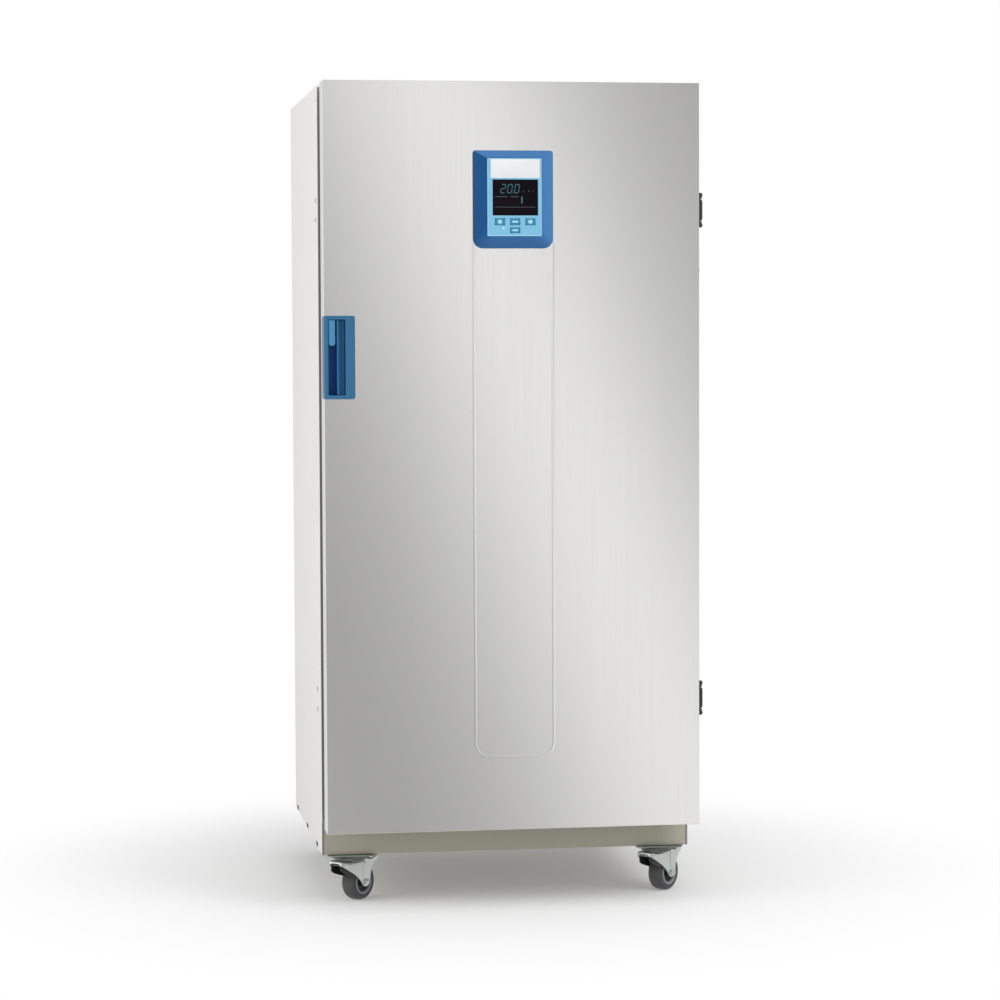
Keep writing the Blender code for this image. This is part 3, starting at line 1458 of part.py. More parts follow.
def handle_paddle():
    """The scooped grip plate, its barrel and its two pins."""
    across, along = paddle_pivot()
    clearance = PADDLE_END_CLEARANCE
    bottom = HANDLE_BOTTOM + HANDLE_END_RIM + clearance
    length = HANDLE_TOP - HANDLE_BOTTOM - 2 * HANDLE_END_RIM - 2 * clearance
    front = DOOR_FRONT - HANDLE_PROUD
    lip = across - PADDLE_SPAN
    scoop = PADDLE_SPAN / 2
    middle = across - PADDLE_SPAN / 2
    face = arc((middle, front), scoop, math.pi, math.tau, 8)
    hollow = PADDLE_PIVOT_DEEP - PADDLE_BARREL_RADIUS
    face = [(x, front + (front - y) * hollow / scoop) for x, y in face]
    back = [(x, y + PADDLE_THICKNESS) for x, y in reversed(face[:-1])]
    points = face[:-1] + [(across, along - PADDLE_BARREL_RADIUS / 2), (across, along + PADDLE_BARREL_RADIUS / 2)]
    points += back[1:-1] + [(lip, front + PADDLE_THICKNESS * 2)]
    paddle = outline("handle_paddle", points, "XY", bottom, length, "blue_plastic")
    barrel = cylinder("paddle_barrel", (across, along, bottom), "Z", length, PADDLE_BARREL_RADIUS, steps=16)
    pins = cylinder(
        "paddle_pins",
        (across, along, bottom - PADDLE_PIN_LENGTH),
        "Z",
        length + 2 * PADDLE_PIN_LENGTH,
        PADDLE_PIN_RADIUS,
        steps=12,
    )
    return join(paddle, barrel, pins)


def latch_hook():
    """A flat fork on the door liner's pin that drops over the strike's stud."""
    bottom = STRIKE_Z + STRIKE_HEAD_RADIUS + STRIKE_CLEARANCE
    half = LATCH_WIDTH / 2
    notch = LATCH_NOTCH_WIDTH / 2
    points = [
        (LATCH_X - half, bottom),
        (LATCH_X - notch, bottom),
        (LATCH_X - notch, bottom + LATCH_NOTCH_HEIGHT),
        (LATCH_X + notch, bottom + LATCH_NOTCH_HEIGHT),
        (LATCH_X + notch, bottom),
        (LATCH_X + half, bottom),
        (LATCH_X + half, LATCH_PIVOT_Z + LATCH_ABOVE_PIVOT),
        (LATCH_X - half, LATCH_PIVOT_Z + LATCH_ABOVE_PIVOT),
    ]
    plate = outline("latch_hook", points, "XZ", LATCH_BACK, LATCH_THICKNESS, "zinc")
    bore = cylinder(
        "latch_bore",
        (LATCH_X, LATCH_BACK - LATCH_THICKNESS, LATCH_PIVOT_Z),
        "Y",
        3 * LATCH_THICKNESS,
        LATCH_PIN_RADIUS + GAP,
        steps=16,
    )
    return cut(plate, bore)


def cable_grommet():
    return cylinder(
        "cable_grommet",
        (HALF_DOOR + GAP, DOOR_FRONT + GROMMET_BEHIND_FRONT, GROMMET_Z),
        "X",
        GROMMET_PROUD - GAP,
        GROMMET_RADIUS,
        "grey_plastic",
        20,
        end_radius=GROMMET_RADIUS * 0.7,
    )


def glass_door():
    """The inner glass door: pane, turned hinge post with its two pins, and knob."""
    post_bottom = MOUTH_BOTTOM + GLASS_POST_END_CLEARANCE
    post_length = MOUTH_TOP - MOUTH_BOTTOM - 2 * GLASS_POST_END_CLEARANCE
    edge = GLASS_EDGE_CLEARANCE
    pane_left = -MOUTH_HALF_WIDTH + GLASS_SIDE_CLEARANCE
    pane_right = GLASS_POST_X - GLASS_POST_RADIUS + GLASS_IN_POST
    pane = box(
        "glass_pane",
        (pane_left, GLASS_FRONT, MOUTH_BOTTOM + edge),
        (pane_right, GLASS_BACK, MOUTH_TOP - edge),
        "clear_glass",
    )
    post = cylinder(
        "glass_hinge_post",
        (GLASS_POST_X, GLASS_POST_Y, post_bottom),
        "Z",
        post_length,
        GLASS_POST_RADIUS,
        "aluminium",
        20,
    )
    pins = cylinder(
        "glass_hinge_pins",
        (GLASS_POST_X, GLASS_POST_Y, post_bottom - GLASS_PIN_LENGTH),
        "Z",
        post_length + 2 * GLASS_PIN_LENGTH,
        GLASS_PIN_RADIUS,
        steps=16,
    )
    slot = box(
        "glass_slot",
        (pane_left, GLASS_FRONT - GAP, MOUTH_BOTTOM + edge - GAP),
        (pane_right + GAP, GLASS_BACK + GLASS_THICKNESS, MOUTH_TOP - edge + GAP),
    )
    cut(join(post, pins), slot)
    knob = cylinder(
        "glass_knob",
        (pane_left + KNOB_FROM_EDGE, GLASS_FRONT - GAP - KNOB_LENGTH, KNOB_Z),
        "Y",
        KNOB_LENGTH,
        KNOB_RADIUS,
        "black_plastic",
    )
    return pane, post, knob


def caster_mount(place_name):
    """The fixed half of a caster's swivel: bearing cap and kingpin."""
    top = CASTER_HEIGHT - GAP
    bottom = top - CASTER_MOUNT_HEIGHT
    cap = cylinder(
        f"{place_name}_caster_mount",
        (0, 0, bottom),
        "Z",
        CASTER_MOUNT_HEIGHT,
        CASTER_MOUNT_RADIUS,
        "zinc",
        20,
    )
    crown_bottom = bottom - 2 * GAP - FORK_SHEET
    pin = cylinder(
        f"{place_name}_kingpin",
        (0, 0, crown_bottom - KINGPIN_HEAD_HEIGHT / 2),
        "Z",
        bottom - crown_bottom + KINGPIN_HEAD_HEIGHT / 2 + FORK_SHEET,
        KINGPIN_RADIUS,
        steps=12,
    )
    head = cylinder(
        f"{place_name}_kingpin_head",
        (0, 0, crown_bottom - KINGPIN_HEAD_HEIGHT),
        "Z",
        KINGPIN_HEAD_HEIGHT,
        KINGPIN_HEAD_RADIUS,
        steps=12,
    )
    return join(cap, pin, head), [pin, head]


def pedal_pivot():
    """Place of the brake pedal's pivot in the caster's own frame, along the trail and up."""
    reach = WHEEL_RADIUS / math.cos(math.pi / WHEEL_STEPS) + PEDAL_PIVOT_PAST_WHEEL
    return WHEEL_TRAIL + reach * math.sin(PEDAL_PIVOT_LEAN), WHEEL_RADIUS + reach * math.cos(PEDAL_PIVOT_LEAN)


def caster_fork(place_name):
    """The pressed fork: a hooded channel with tapered legs, its axle bolt and the pedal's ears."""
    crown_top = CASTER_HEIGHT - GAP - CASTER_MOUNT_HEIGHT - GAP
    inner = WHEEL_WIDTH / 2 + WHEEL_SIDE_CLEARANCE
    outer = inner + FORK_SHEET
    pivot_along, pivot_up = pedal_pivot()
    boss = (WHEEL_TRAIL, WHEEL_RADIUS)
    ear = (pivot_along, pivot_up)
    ear_radius = PEDAL_BARREL_RADIUS + FORK_SHEET / 2
    points = [(-FORK_LEAD, crown_top - FORK_LIP), (-FORK_LEAD, crown_top - FORK_LIP / 3)]
    points += [(-FORK_LEAD + FORK_LIP / 3, crown_top), (KINGPIN_HEAD_RADIUS + WHEEL_TRAIL / 2, crown_top)]
    points += arc(ear, ear_radius, math.radians(75), math.radians(-75), 5)
    points += arc(boss, FORK_BOSS_RADIUS, math.radians(10), math.radians(-190), 8)
    leg = outline(f"{place_name}_caster_fork", points, "XZ", -outer, 2 * outer, "zinc")
    channel = box(
        f"{place_name}_fork_channel",
        (-2 * FORK_LEAD, -inner, 0.0),
        (2 * FORK_LEAD, inner, crown_top - FORK_SHEET),
    )
    bore = cylinder(
        f"{place_name}_fork_bore",
        (0, 0, crown_top - 2 * FORK_SHEET),
        "Z",
        4 * FORK_SHEET,
        KINGPIN_RADIUS + KINGPIN_CLEARANCE,
        steps=12,
    )
    axle = cylinder(
        f"{place_name}_axle", (WHEEL_TRAIL, -outer, WHEEL_RADIUS), "Y", 2 * outer, AXLE_RADIUS, steps=16
    )
    heads = [
        cylinder(
            f"{place_name}_axle_head_{i}",
            (WHEEL_TRAIL, start, WHEEL_RADIUS),
            "Y",
            AXLE_HEAD_HEIGHT,
            AXLE_HEAD_RADIUS,
            steps=6,
        )
        for i, start in enumerate((-outer - AXLE_HEAD_HEIGHT * 0.75, outer - AXLE_HEAD_HEIGHT * 0.25))
    ]
    pin = cylinder(
        f"{place_name}_pedal_pin", (pivot_along, -outer, pivot_up), "Y", 2 * outer, PEDAL_PIN_RADIUS, steps=12
    )
    helpers = [channel, bore, axle, *heads, pin]
    fork = join(cut(leg, channel, bore), axle, *heads, pin)
    return fork, helpers


def caster_wheel(place_name):
    """The wheel: soft tyre and core in one, with flats of its facets on the floor."""
    tread = WHEEL_RADIUS / math.cos(math.pi / WHEEL_STEPS)
    half = WHEEL_WIDTH / 2
    bore = AXLE_RADIUS + AXLE_CLEARANCE
    profile = [
        (bore, half),
        (0.26 * tread, half),
        (0.32 * tread, 0.55 * half),
        (0.62 * tread, 0.55 * half),
        (0.68 * tread, 0.92 * half),
        (0.88 * tread, half),
        (0.98 * tread, 0.80 * half),
        (tread, 0.45 * half),
    ]
    profile += [(radius, -height) for radius, height in reversed(profile)]
    wheel = turned(f"{place_name}_caster_wheel", profile, WHEEL_STEPS, "tyre_rubber")
    half_step = math.pi / WHEEL_STEPS
    wheel.data.transform(Matrix.Rotation(half_step, 4, "Z"))
    wheel.matrix_basis = Matrix.Translation((WHEEL_TRAIL, 0, WHEEL_RADIUS)) @ Matrix.Rotation(
        math.pi / 2, 4, "X"
    )
    return wheel


def brake_pedal(place_name):
    """The toe pedal on the trailing side of a front caster, drawn in its pressed place."""
    along, up = pedal_pivot()
    half = PEDAL_WIDTH / 2
    barrel = cylinder(
        f"{place_name}_brake_pedal", (along, -half, up), "Y", 2 * half, PEDAL_BARREL_RADIUS, "zinc", 16
    )
    plate = box_mesh(
        f"{place_name}_pedal_plate",
        [((0.0, -half + GAP, -PEDAL_THICKNESS / 2), (PEDAL_LENGTH, half - GAP, PEDAL_THICKNESS / 2))],
    )
    plate.transform(Matrix.Translation((along, 0, up)) @ Matrix.Rotation(PEDAL_DROOP, 4, "Y"))
    toe = place(f"{place_name}_pedal_toe", plate)
    half = PEDAL_SHOE_WIDTH / 2
    reach = PEDAL_PIVOT_PAST_WHEEL - GAP
    shoe = box_mesh(
        f"{place_name}_brake_shoe",
        [((-PEDAL_SHOE_THICKNESS / 2, -half, -reach), (PEDAL_SHOE_THICKNESS / 2, half, 0.0))],
    )
    shoe.transform(Matrix.Translation((along, 0, up)) @ Matrix.Rotation(PEDAL_PIVOT_LEAN, 4, "Y"))
    shoe = place(f"{place_name}_brake_shoe", shoe)
    bore = cylinder(
        f"{place_name}_pedal_bore",
        (along, -PEDAL_WIDTH, up),
        "Y",
        2 * PEDAL_WIDTH,
        PEDAL_PIN_RADIUS + GAP,
        steps=12,
    )
    return cut(join(barrel, toe, shoe), bore), [toe, shoe, bore]


def caster(place_name, across, along):
    """One caster, modelled about its swivel axis and turned as a whole."""
    swivel = axis_empty(f"{place_name}_swivel_axis", (across, along, 0.0), CASTER_TURN)
    mount, helpers = caster_mount(place_name)
    fork, more = caster_fork(place_name)
    wheel = caster_wheel(place_name)
    pieces = [mount, fork, wheel, *helpers, *more]
    if place_name.startswith("front"):
        pedal, extra = brake_pedal(place_name)
        pieces += [pedal, *extra]
    for piece in pieces:
        piece.parent = swivel


def main():
    side_panel("left")
    side_panel("right")
    top_panel()
    rear_panel()
    machine_cover()
    power_inlet()
    base_frame()
    front_collar()
    insulation_jacket()
    chamber_liner()
    shelf_rack("left")
    shelf_rack("right")
    air_duct_panel()
    temperature_probe()
    chamber_fan_motor()
    evaporator()
    heater()
    compressor()
    condenser()
    strike_plate()
    for level in HINGE_HEIGHTS:
        hinge_bracket(level)

    door_axis = axis_empty("door_axis", (HINGE_PIN_X, HINGE_PIN_Y, DOOR_BOTTOM))
    leaves = [hinge_leaf(level) for level in HINGE_HEIGHTS]
    carry(door_axis, door_skin(), door_insulation(), door_liner(), door_gasket(), *leaves)
    carry(door_axis, display_bezel(), keypad_panel(), display_window(), handle_housing(), cable_grommet())
    for key in keys():
        carry(door_axis, key_cap(*key))
    across, along = paddle_pivot()
    paddle_axis = axis_empty("paddle_axis", (across, along, HANDLE_BOTTOM))
    carry(paddle_axis, handle_paddle())
    latch_axis = axis_empty("latch_axis", (LATCH_X, LATCH_BACK, LATCH_PIVOT_Z))
    carry(latch_axis, latch_hook())
    carry(door_axis, paddle_axis, latch_axis)

    glass_axis = axis_empty("glass_door_axis", (GLASS_POST_X, GLASS_POST_Y, MOUTH_BOTTOM))
    carry(glass_axis, *glass_door())
    for name, level in SHELF_LEVELS.items():
        shelf(name, level)
    for name, centre, radius in (
        ("chamber_fan", chamber_fan_centre(), FAN_RADIUS),
        ("condenser_fan", condenser_fan_centre(), CONDENSER_FAN_RADIUS),
    ):
        carry(axis_empty(f"{name}_axis", centre), fan(name, centre, radius, "black_plastic"))
    for place_name, (across, along) in CASTERS.items():
        caster(place_name, across, along)


main()
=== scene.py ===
"""Finishes for the refrigerated incubator: its sheets, control panel, handle, hinges, casters and chamber."""

import json
import math

import bmesh
import bpy
import numpy as np
from bpy.props import FloatProperty, FloatVectorProperty, IntProperty, PointerProperty
from mathutils import Matrix, Vector

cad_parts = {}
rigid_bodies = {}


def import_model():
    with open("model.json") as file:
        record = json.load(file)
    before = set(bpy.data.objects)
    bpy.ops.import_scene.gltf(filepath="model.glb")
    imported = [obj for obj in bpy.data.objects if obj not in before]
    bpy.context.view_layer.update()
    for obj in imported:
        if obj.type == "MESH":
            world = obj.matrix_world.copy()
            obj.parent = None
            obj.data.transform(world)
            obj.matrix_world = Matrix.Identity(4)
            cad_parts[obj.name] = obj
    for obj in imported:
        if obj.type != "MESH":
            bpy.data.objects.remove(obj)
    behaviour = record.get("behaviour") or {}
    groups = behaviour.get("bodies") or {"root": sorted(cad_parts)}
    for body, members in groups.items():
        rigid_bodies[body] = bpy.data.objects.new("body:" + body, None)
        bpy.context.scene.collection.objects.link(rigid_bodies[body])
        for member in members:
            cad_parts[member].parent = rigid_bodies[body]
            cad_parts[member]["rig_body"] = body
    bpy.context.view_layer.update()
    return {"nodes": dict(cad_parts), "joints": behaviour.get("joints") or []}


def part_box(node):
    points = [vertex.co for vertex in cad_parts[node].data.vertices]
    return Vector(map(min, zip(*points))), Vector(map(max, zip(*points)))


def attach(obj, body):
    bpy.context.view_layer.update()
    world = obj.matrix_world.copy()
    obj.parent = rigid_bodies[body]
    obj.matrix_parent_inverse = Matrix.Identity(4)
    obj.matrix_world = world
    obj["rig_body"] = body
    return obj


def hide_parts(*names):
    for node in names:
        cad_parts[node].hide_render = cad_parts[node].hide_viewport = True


bl_info = {
    "name": "Refrigerated incubator finishes",
    "version": (1, 0, 0),
    "blender": (4, 5, 0),
    "location": "3D View > Sidebar > Incubator",
    "description": "Dresses the incubator's solids with modelled detail and procedural finishes",
    "category": "Add Mesh",
}

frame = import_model()


# Sizes read from the solids

def low(node):
    return np.array(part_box(node)[0])


def high(node):
    return np.array(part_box(node)[1])


DOOR_LOW = low("door_skin")
DOOR_FACE = float(DOOR_LOW[1])
PANEL_LOW, PANEL_HIGH = low("display_bezel"), high("display_bezel")
PAD_LOW, PAD_HIGH = low("keypad_panel"), high("keypad_panel")
WINDOW_LOW, WINDOW_HIGH = low("display_window"), high("display_window")
HANDLE_LOW, HANDLE_HIGH = low("handle_housing"), high("handle_housing")
SIDE_LOW, SIDE_HIGH = low("left_side_panel"), high("left_side_panel")
CASTERS = ("front_left", "front_right", "rear_left", "rear_right")


# Surfaces

def link(name, mesh, finish, smooth_angle=35.0):
    """Puts a finished mesh into the scene with one finish and its sharp edges kept."""
    obj = bpy.data.objects.new(name, mesh)
    bpy.context.scene.collection.objects.link(obj)
    mesh.materials.append(finish_of(finish) if isinstance(finish, str) else finish)
    mesh.shade_smooth()
    mesh.set_sharp_from_angle(angle=math.radians(smooth_angle))
    return obj


def tidy(mesh, join=1e-6):
    """Merges points that coincide, as at a pole, and turns every face outwards."""
    bm = bmesh.new()
    bm.from_mesh(mesh)
    bmesh.ops.remove_doubles(bm, verts=bm.verts, dist=join)
    bmesh.ops.recalc_face_normals(bm, faces=bm.faces)
    bm.to_mesh(mesh)
    bm.free()
    return mesh


def grid_faces(rows, columns, wrap_rows, wrap_columns, offset=0):
    """Vertex (i, j) is number i * columns + j, and each quad joins (i, j), (i, j+1), (i+1, j+1) and (i+1, j)."""
    i = np.arange(rows if wrap_rows else rows - 1)[:, None]
    j = np.arange(columns if wrap_columns else columns - 1)[None, :]
    next_i, next_j = (i + 1) % rows, (j + 1) % columns
    corners = [i * columns + j, i * columns + next_j, next_i * columns + next_j, next_i * columns + j]
    return np.stack([np.broadcast_to(c, (i.size, j.size)) for c in corners], axis=-1).reshape(-1, 4) + offset


def surface(name, grids, wrap_rows=False, wrap_columns=True, caps=True):
    """A mesh from one or more grids of points, each (rows, columns, 3), with a cap on each open end row."""
    points, faces, start = [], [], 0
    for grid in grids:
        rows, columns = grid.shape[:2]
        points.append(grid.reshape(-1, 3))
        faces += grid_faces(rows, columns, wrap_rows, wrap_columns, start).tolist()
        if caps and not wrap_rows:
            faces.append((start + np.arange(columns)).tolist())
            faces.append((start + (rows - 1) * columns + np.arange(columns)[::-1]).tolist())
        start += rows * columns
    mesh = bpy.data.meshes.new(name)
    mesh.from_pydata(np.concatenate(points), [], faces)
    return tidy(mesh)


def axes_facing(direction):
    """Three unit vectors (across, up, out) for a piece that faces the given way."""
    out = np.array(direction, float)
    out /= np.linalg.norm(out)
    up = np.array((0.0, 0.0, 1.0)) if abs(out[2]) < 0.9 else np.array((0.0, 1.0, 0.0))
    across = np.cross(up, out)
    across /= np.linalg.norm(across)
    return across, np.cross(out, across), out


def rounded_outline(width, height, radii, steps=6):
    """Corner centre plus radius times (cos a, sin a) over a quarter turn each, from the lower left round."""
    lower_left, lower_right, upper_right, upper_left = radii
    half = np.array((width / 2, height / 2))
    corners = (
        ((-1, -1), lower_left, 1.0),
        ((1, -1), lower_right, 1.5),
        ((1, 1), upper_right, 0.0),
        ((-1, 1), upper_left, 0.5),
    )
    pieces = []
    for sign, radius, start in corners:
        angle = np.pi * (start + np.linspace(0, 0.5, steps + 1))
        centre = np.array(sign) * (half - radius)
        pieces.append(centre + radius * np.stack([np.cos(angle), np.sin(angle)], axis=-1))
    return np.concatenate(pieces)


def plate_rings(centre, size, radii, profile, facing, steps=6):
    """Ring k is the outline shrunk by inset k and lifted by rise k: centre + u * across + v * up + rise * out."""
    across, up, out = axes_facing(facing)
    rings = []
    for inset, rise in profile:
        shrunk = [max(radius - inset, 0.00005) for radius in radii]
        flat = rounded_outline(size[0] - 2 * inset, size[1] - 2 * inset, shrunk, steps)
        rings.append(np.array(centre) + flat[:, :1] * across + flat[:, 1:] * up + rise * out)
    return np.stack(rings)


def rolled_edge(thickness, radius, steps=4):
    """Profile of a plate whose front edge is a quarter circle: inset r(1 - cos a), rise t - r + r sin a."""
    angle = np.linspace(0, np.pi / 2, steps + 1)
    insets = radius * (1 - np.cos(angle))
    rises = thickness - radius + radius * np.sin(angle)
    return [(0.0, 0.0), *zip(insets.tolist(), rises.tolist())]


def pressed_plate(name, centre, size, radii, profile, facing, finish, steps=6):
    return link(name, surface(name, [plate_rings(centre, size, radii, profile, facing, steps)]), finish)


def turned_grid(profile, centre, axis, steps):
    """Point (k, a) is centre + h_k * axis + r_k * (cos a * e1 + sin a * e2)."""
    e1, e2, along = axes_facing(axis)
    radius, height = np.array(profile, float).T
    angle = np.linspace(0, 2 * np.pi, steps, endpoint=False)
    ring = np.cos(angle)[:, None] * e1 + np.sin(angle)[:, None] * e2
    return np.array(centre, float) + height[:, None, None] * along + radius[:, None, None] * ring[None]


def turned(name, profile, centre, axis, steps, finish, loop=False):
    grids = [turned_grid(profile, centre, axis, steps)]
    return link(name, surface(name, grids, wrap_rows=loop, caps=not loop), finish)


def screw_grids(place, facing, radius=0.004, height=0.0016):
    """A pan head as a turned dome, r(h) on a quarter ellipse, with a hexagonal socket sunk into it."""
    angle = np.linspace(0, np.pi / 2, 5)
    dome = [(radius * math.cos(a), height * math.sin(a)) for a in angle[:-1]]
    socket = [(radius * 0.42, height * 0.96), (radius * 0.38, height * 0.35), (0.00001, height * 0.35)]
    return turned_grid([(radius, -0.0002), *dome, *socket], place, facing, 24)


def screws(name, places, facing, finish, radius=0.004, height=0.0016):
    grids = [screw_grids(place, facing, radius, height) for place in places]
    return link(name, surface(name, grids), finish)


def softened(node, finish, width=0.0008, segments=2, angle=30.0):
    """A copy of a solid with its loose triangles joined, its flats merged and its edges rounded."""
    source = frame["nodes"][node]
    bm = bmesh.new()
    bm.from_mesh(source.data)
    bmesh.ops.remove_doubles(bm, verts=bm.verts, dist=1e-6)
    bmesh.ops.dissolve_limit(bm, angle_limit=math.radians(0.5), verts=bm.verts, edges=bm.edges)
    corners = np.array([vert.co[:] for vert in bm.verts])
    faces = [[vert.index for vert in face.verts] for face in bm.faces]
    bm.free()
    mesh = bpy.data.meshes.new(f"{node}_soft")
    mesh.from_pydata(corners, [], faces)
    obj = link(f"{node}_soft", mesh, finish)
    bevel = obj.modifiers.new("Edges", "BEVEL")
    bevel.width = width
    bevel.segments = segments
    bevel.limit_method = "ANGLE"
    bevel.angle_limit = math.radians(angle)
    bevel.use_clamp_overlap = True
    bevel.harden_normals = False
    return stand_for(obj, node)


def stand_for(obj, *nodes):
    """The piece takes the place of these solids, and rides on the body that they belong to."""
    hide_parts(*nodes)
    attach(obj, frame["nodes"][nodes[0]]["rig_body"])
    return obj


def on_body(obj, body):
    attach(obj, body)
    return obj


def paint(finish, *nodes):
    """Gives a carried-over solid its finish."""
    for node in nodes:
        mesh = frame["nodes"][node].data
        mesh.materials.clear()
        mesh.materials.append(finish_of(finish))


def add_piece(name, grids, finish, body):
    """A piece of closed grids that stands for no solid and rides on the named body."""
    return on_body(link(name, surface(name, grids), finish), body)


def add_ring(name, rings, finish, smooth_angle=35.0):
    """Rings joined end to end, so that the mesh closes on itself as a frame or a gasket does."""
    return link(name, surface(name, [rings], wrap_rows=True, caps=False), finish, smooth_angle)


# Shader maths

class Wire:
    """A shader socket that takes part in Python arithmetic: each operator adds one Math node."""

    def __init__(self, finish, socket):
        self.finish = finish
        self.socket = socket

    def maths(self, operation, *values):
        return self.finish.add("ShaderNodeMath", {"operation": operation}, dict(enumerate((self, *values))))

    def __add__(self, other):
        return self.maths("ADD", other)

    __radd__ = __add__

    def __mul__(self, other):
        return self.maths("MULTIPLY", other)

    __rmul__ = __mul__

    def __sub__(self, other):
        return self.maths("SUBTRACT", other)

    def __rsub__(self, other):
        return self.finish.add("ShaderNodeMath", {"operation": "SUBTRACT"}, {0: other, 1: self})

    def __pow__(self, other):
        return self.maths("POWER", other)

    def at_least(self, other):
        return self.maths("MAXIMUM", other)

    def at_most(self, other):
        return self.maths("MINIMUM", other)

    def above(self, other):
        return self.maths("GREATER_THAN", other)

    def fade(self, start, end, first=0.0, last=1.0):
        """Goes smoothly from first at start to last at end."""
        settings = {"interpolation_type": "SMOOTHSTEP"}
        values = {"Value": self, "From Min": start, "From Max": end, "To Min": first, "To Max": last}
        return self.finish.add("ShaderNodeMapRange", settings, values)


class Finish:
    """One material: a Principled shader and the nodes that feed it."""

    def __init__(self, name, colour, roughness, metallic=0.0, **sockets):
        self.material = bpy.data.materials.new(name)
        self.material.use_nodes = True
        self.tree = self.material.node_tree
        self.shader = self.tree.nodes["Principled BSDF"]
        self.feed(self.shader.inputs["Base Color"], (*colour, 1.0))
        self.feed(self.shader.inputs["Roughness"], roughness)
        self.feed(self.shader.inputs["Metallic"], metallic)
        self.material.diffuse_color = (*colour, 1.0)
        for socket, value in sockets.items():
            self.feed(self.shader.inputs[socket.replace("_", " ")], value)

    def feed(self, socket, value):
        if isinstance(value, Wire):
            self.tree.links.new(value.socket, socket)
        else:
            socket.default_value = value

    def add(self, kind, settings=None, sockets=None, out=0):
        """Adds a node, sets its settings, then feeds its sockets by name or number, and gives one output."""
        node = self.tree.nodes.new(kind)
        for setting, value in (settings or {}).items():
            if setting == "stops":
                self.set_stops(node.color_ramp, value)
            else:
                setattr(node, setting, value)
        for socket, value in (sockets or {}).items():
            self.feed(node.inputs[socket], value)
        return Wire(self, node.outputs[out])

    @staticmethod
    def set_stops(ramp, stops):
        """Stops are (position, grey tone) pairs, of which the first and last take the ramp's own two elements."""
        for element, (position, tone) in zip((ramp.elements[0], ramp.elements[1]), (stops[0], stops[-1])):
            element.position = position
            element.color = (tone, tone, tone, 1.0)
        for position, tone in stops[1:-1]:
            ramp.elements.new(position).color = (tone, tone, tone, 1.0)

    def place(self):
        """The point's own coordinates as three wires."""
        where = self.add("ShaderNodeTexCoord", out="Object")
        return [self.add("ShaderNodeSeparateXYZ", None, {0: where}, axis) for axis in ("X", "Y", "Z")]

    def grain(self, stretch, detail=3.0, roughness=0.55):
        """Noise on Object coordinates, with its own scale along X, Y and Z."""
        where = self.add("ShaderNodeTexCoord", out="Object")
        scaled = self.add("ShaderNodeMapping", None, {"Vector": where, "Scale": stretch})
        values = {"Vector": scaled, "Scale": 1.0, "Detail": detail, "Roughness": roughness}
        return self.add("ShaderNodeTexNoise", None, values)

    def bump(self, height, distance, strength=1.0):
        values = {"Height": height, "Distance": distance, "Strength": strength}
        self.feed(self.shader.inputs["Normal"], self.add("ShaderNodeBump", None, values, "Normal"))
        return self

    def blend(self, mask, first, second):
        """Mixes two colours, each three numbers or a wire, by a mask."""
        first, second = (shade if isinstance(shade, Wire) else (*shade, 1.0) for shade in (first, second))
        sockets = {"Factor": mask, 6: first, 7: second}
        return self.add("ShaderNodeMix", {"data_type": "RGBA"}, sockets, 2)

    def colour(self, wire):
        self.feed(self.shader.inputs["Base Color"], wire)
        return self

    def roughness(self, wire):
        self.feed(self.shader.inputs["Roughness"], wire)
        return self


MOULD_TEXTURE = (1400, 1400, 1400)


def white_coat():
    """Powder coat: orange peel in the bump, and cloudy tone."""
    look = scene_looks()
    finish = Finish("white powder coat", look.coat_white, 0.42)
    peel = finish.grain((900, 900, 900), 2.0)
    finish.bump(peel, 0.00004)
    cloud = finish.grain((3, 3, 3), 2.0)
    shade = [tone * 0.975 for tone in look.coat_white]
    return finish.colour(finish.blend(cloud, look.coat_white, shade)).material


def door_steel():
    """Brushed sheet: fine streaks along Z in its roughness, tone and relief."""
    look = scene_looks()
    finish = Finish("brushed door steel", look.steel, 0.2, 1.0)
    streak = finish.grain((900, 900, 5), 4.0, 0.6)
    broad = finish.grain((60, 60, 1.2), 3.0)
    finish.roughness(look.steel_roughness + 0.03 * streak)
    darker = [tone * 0.94 for tone in look.steel]
    finish.colour(finish.blend(0.55 * streak + 0.45 * broad, look.steel, darker))
    return finish.bump(streak, 0.0000015).material


def chamber_steel():
    look = scene_looks()
    finish = Finish("chamber stainless", look.steel, 0.3, 1.0)
    streak = finish.grain((700, 8, 700), 3.0)
    finish.roughness(0.26 + 0.1 * streak)
    return finish.bump(streak, 0.000003).material


def plain_metal(name, colour, roughness, mottling=0.06, scale=60, metallic=0.9):
    """Metal with a fine mottled finish, such as zinc plate or galvanised sheet."""
    finish = Finish(name, colour, roughness, metallic)
    patch = finish.grain((scale, scale, scale), 4.0, 0.65)
    darker = [tone * (1 - 2.5 * mottling) for tone in colour]
    finish.colour(finish.blend(patch, colour, darker))
    finish.roughness(roughness - mottling + 2 * mottling * patch)
    return finish.bump(finish.grain((600, 600, 600), 2.0), 0.00003).material


def moulded(name, colour, roughness, coat=0.0, grain=0.00002, specular=0.5):
    """Moulded plastic: a fine texture, and colour that varies by a few hundredths."""
    finish = Finish(name, colour, roughness, Coat_Weight=coat, Coat_Roughness=0.15, Specular_IOR_Level=specular)
    patch = finish.grain((25, 25, 25), 3.0)
    darker = [tone * 0.9 for tone in colour]
    finish.colour(finish.blend(patch, colour, darker))
    return finish.bump(finish.grain(MOULD_TEXTURE, 2.0), grain).material


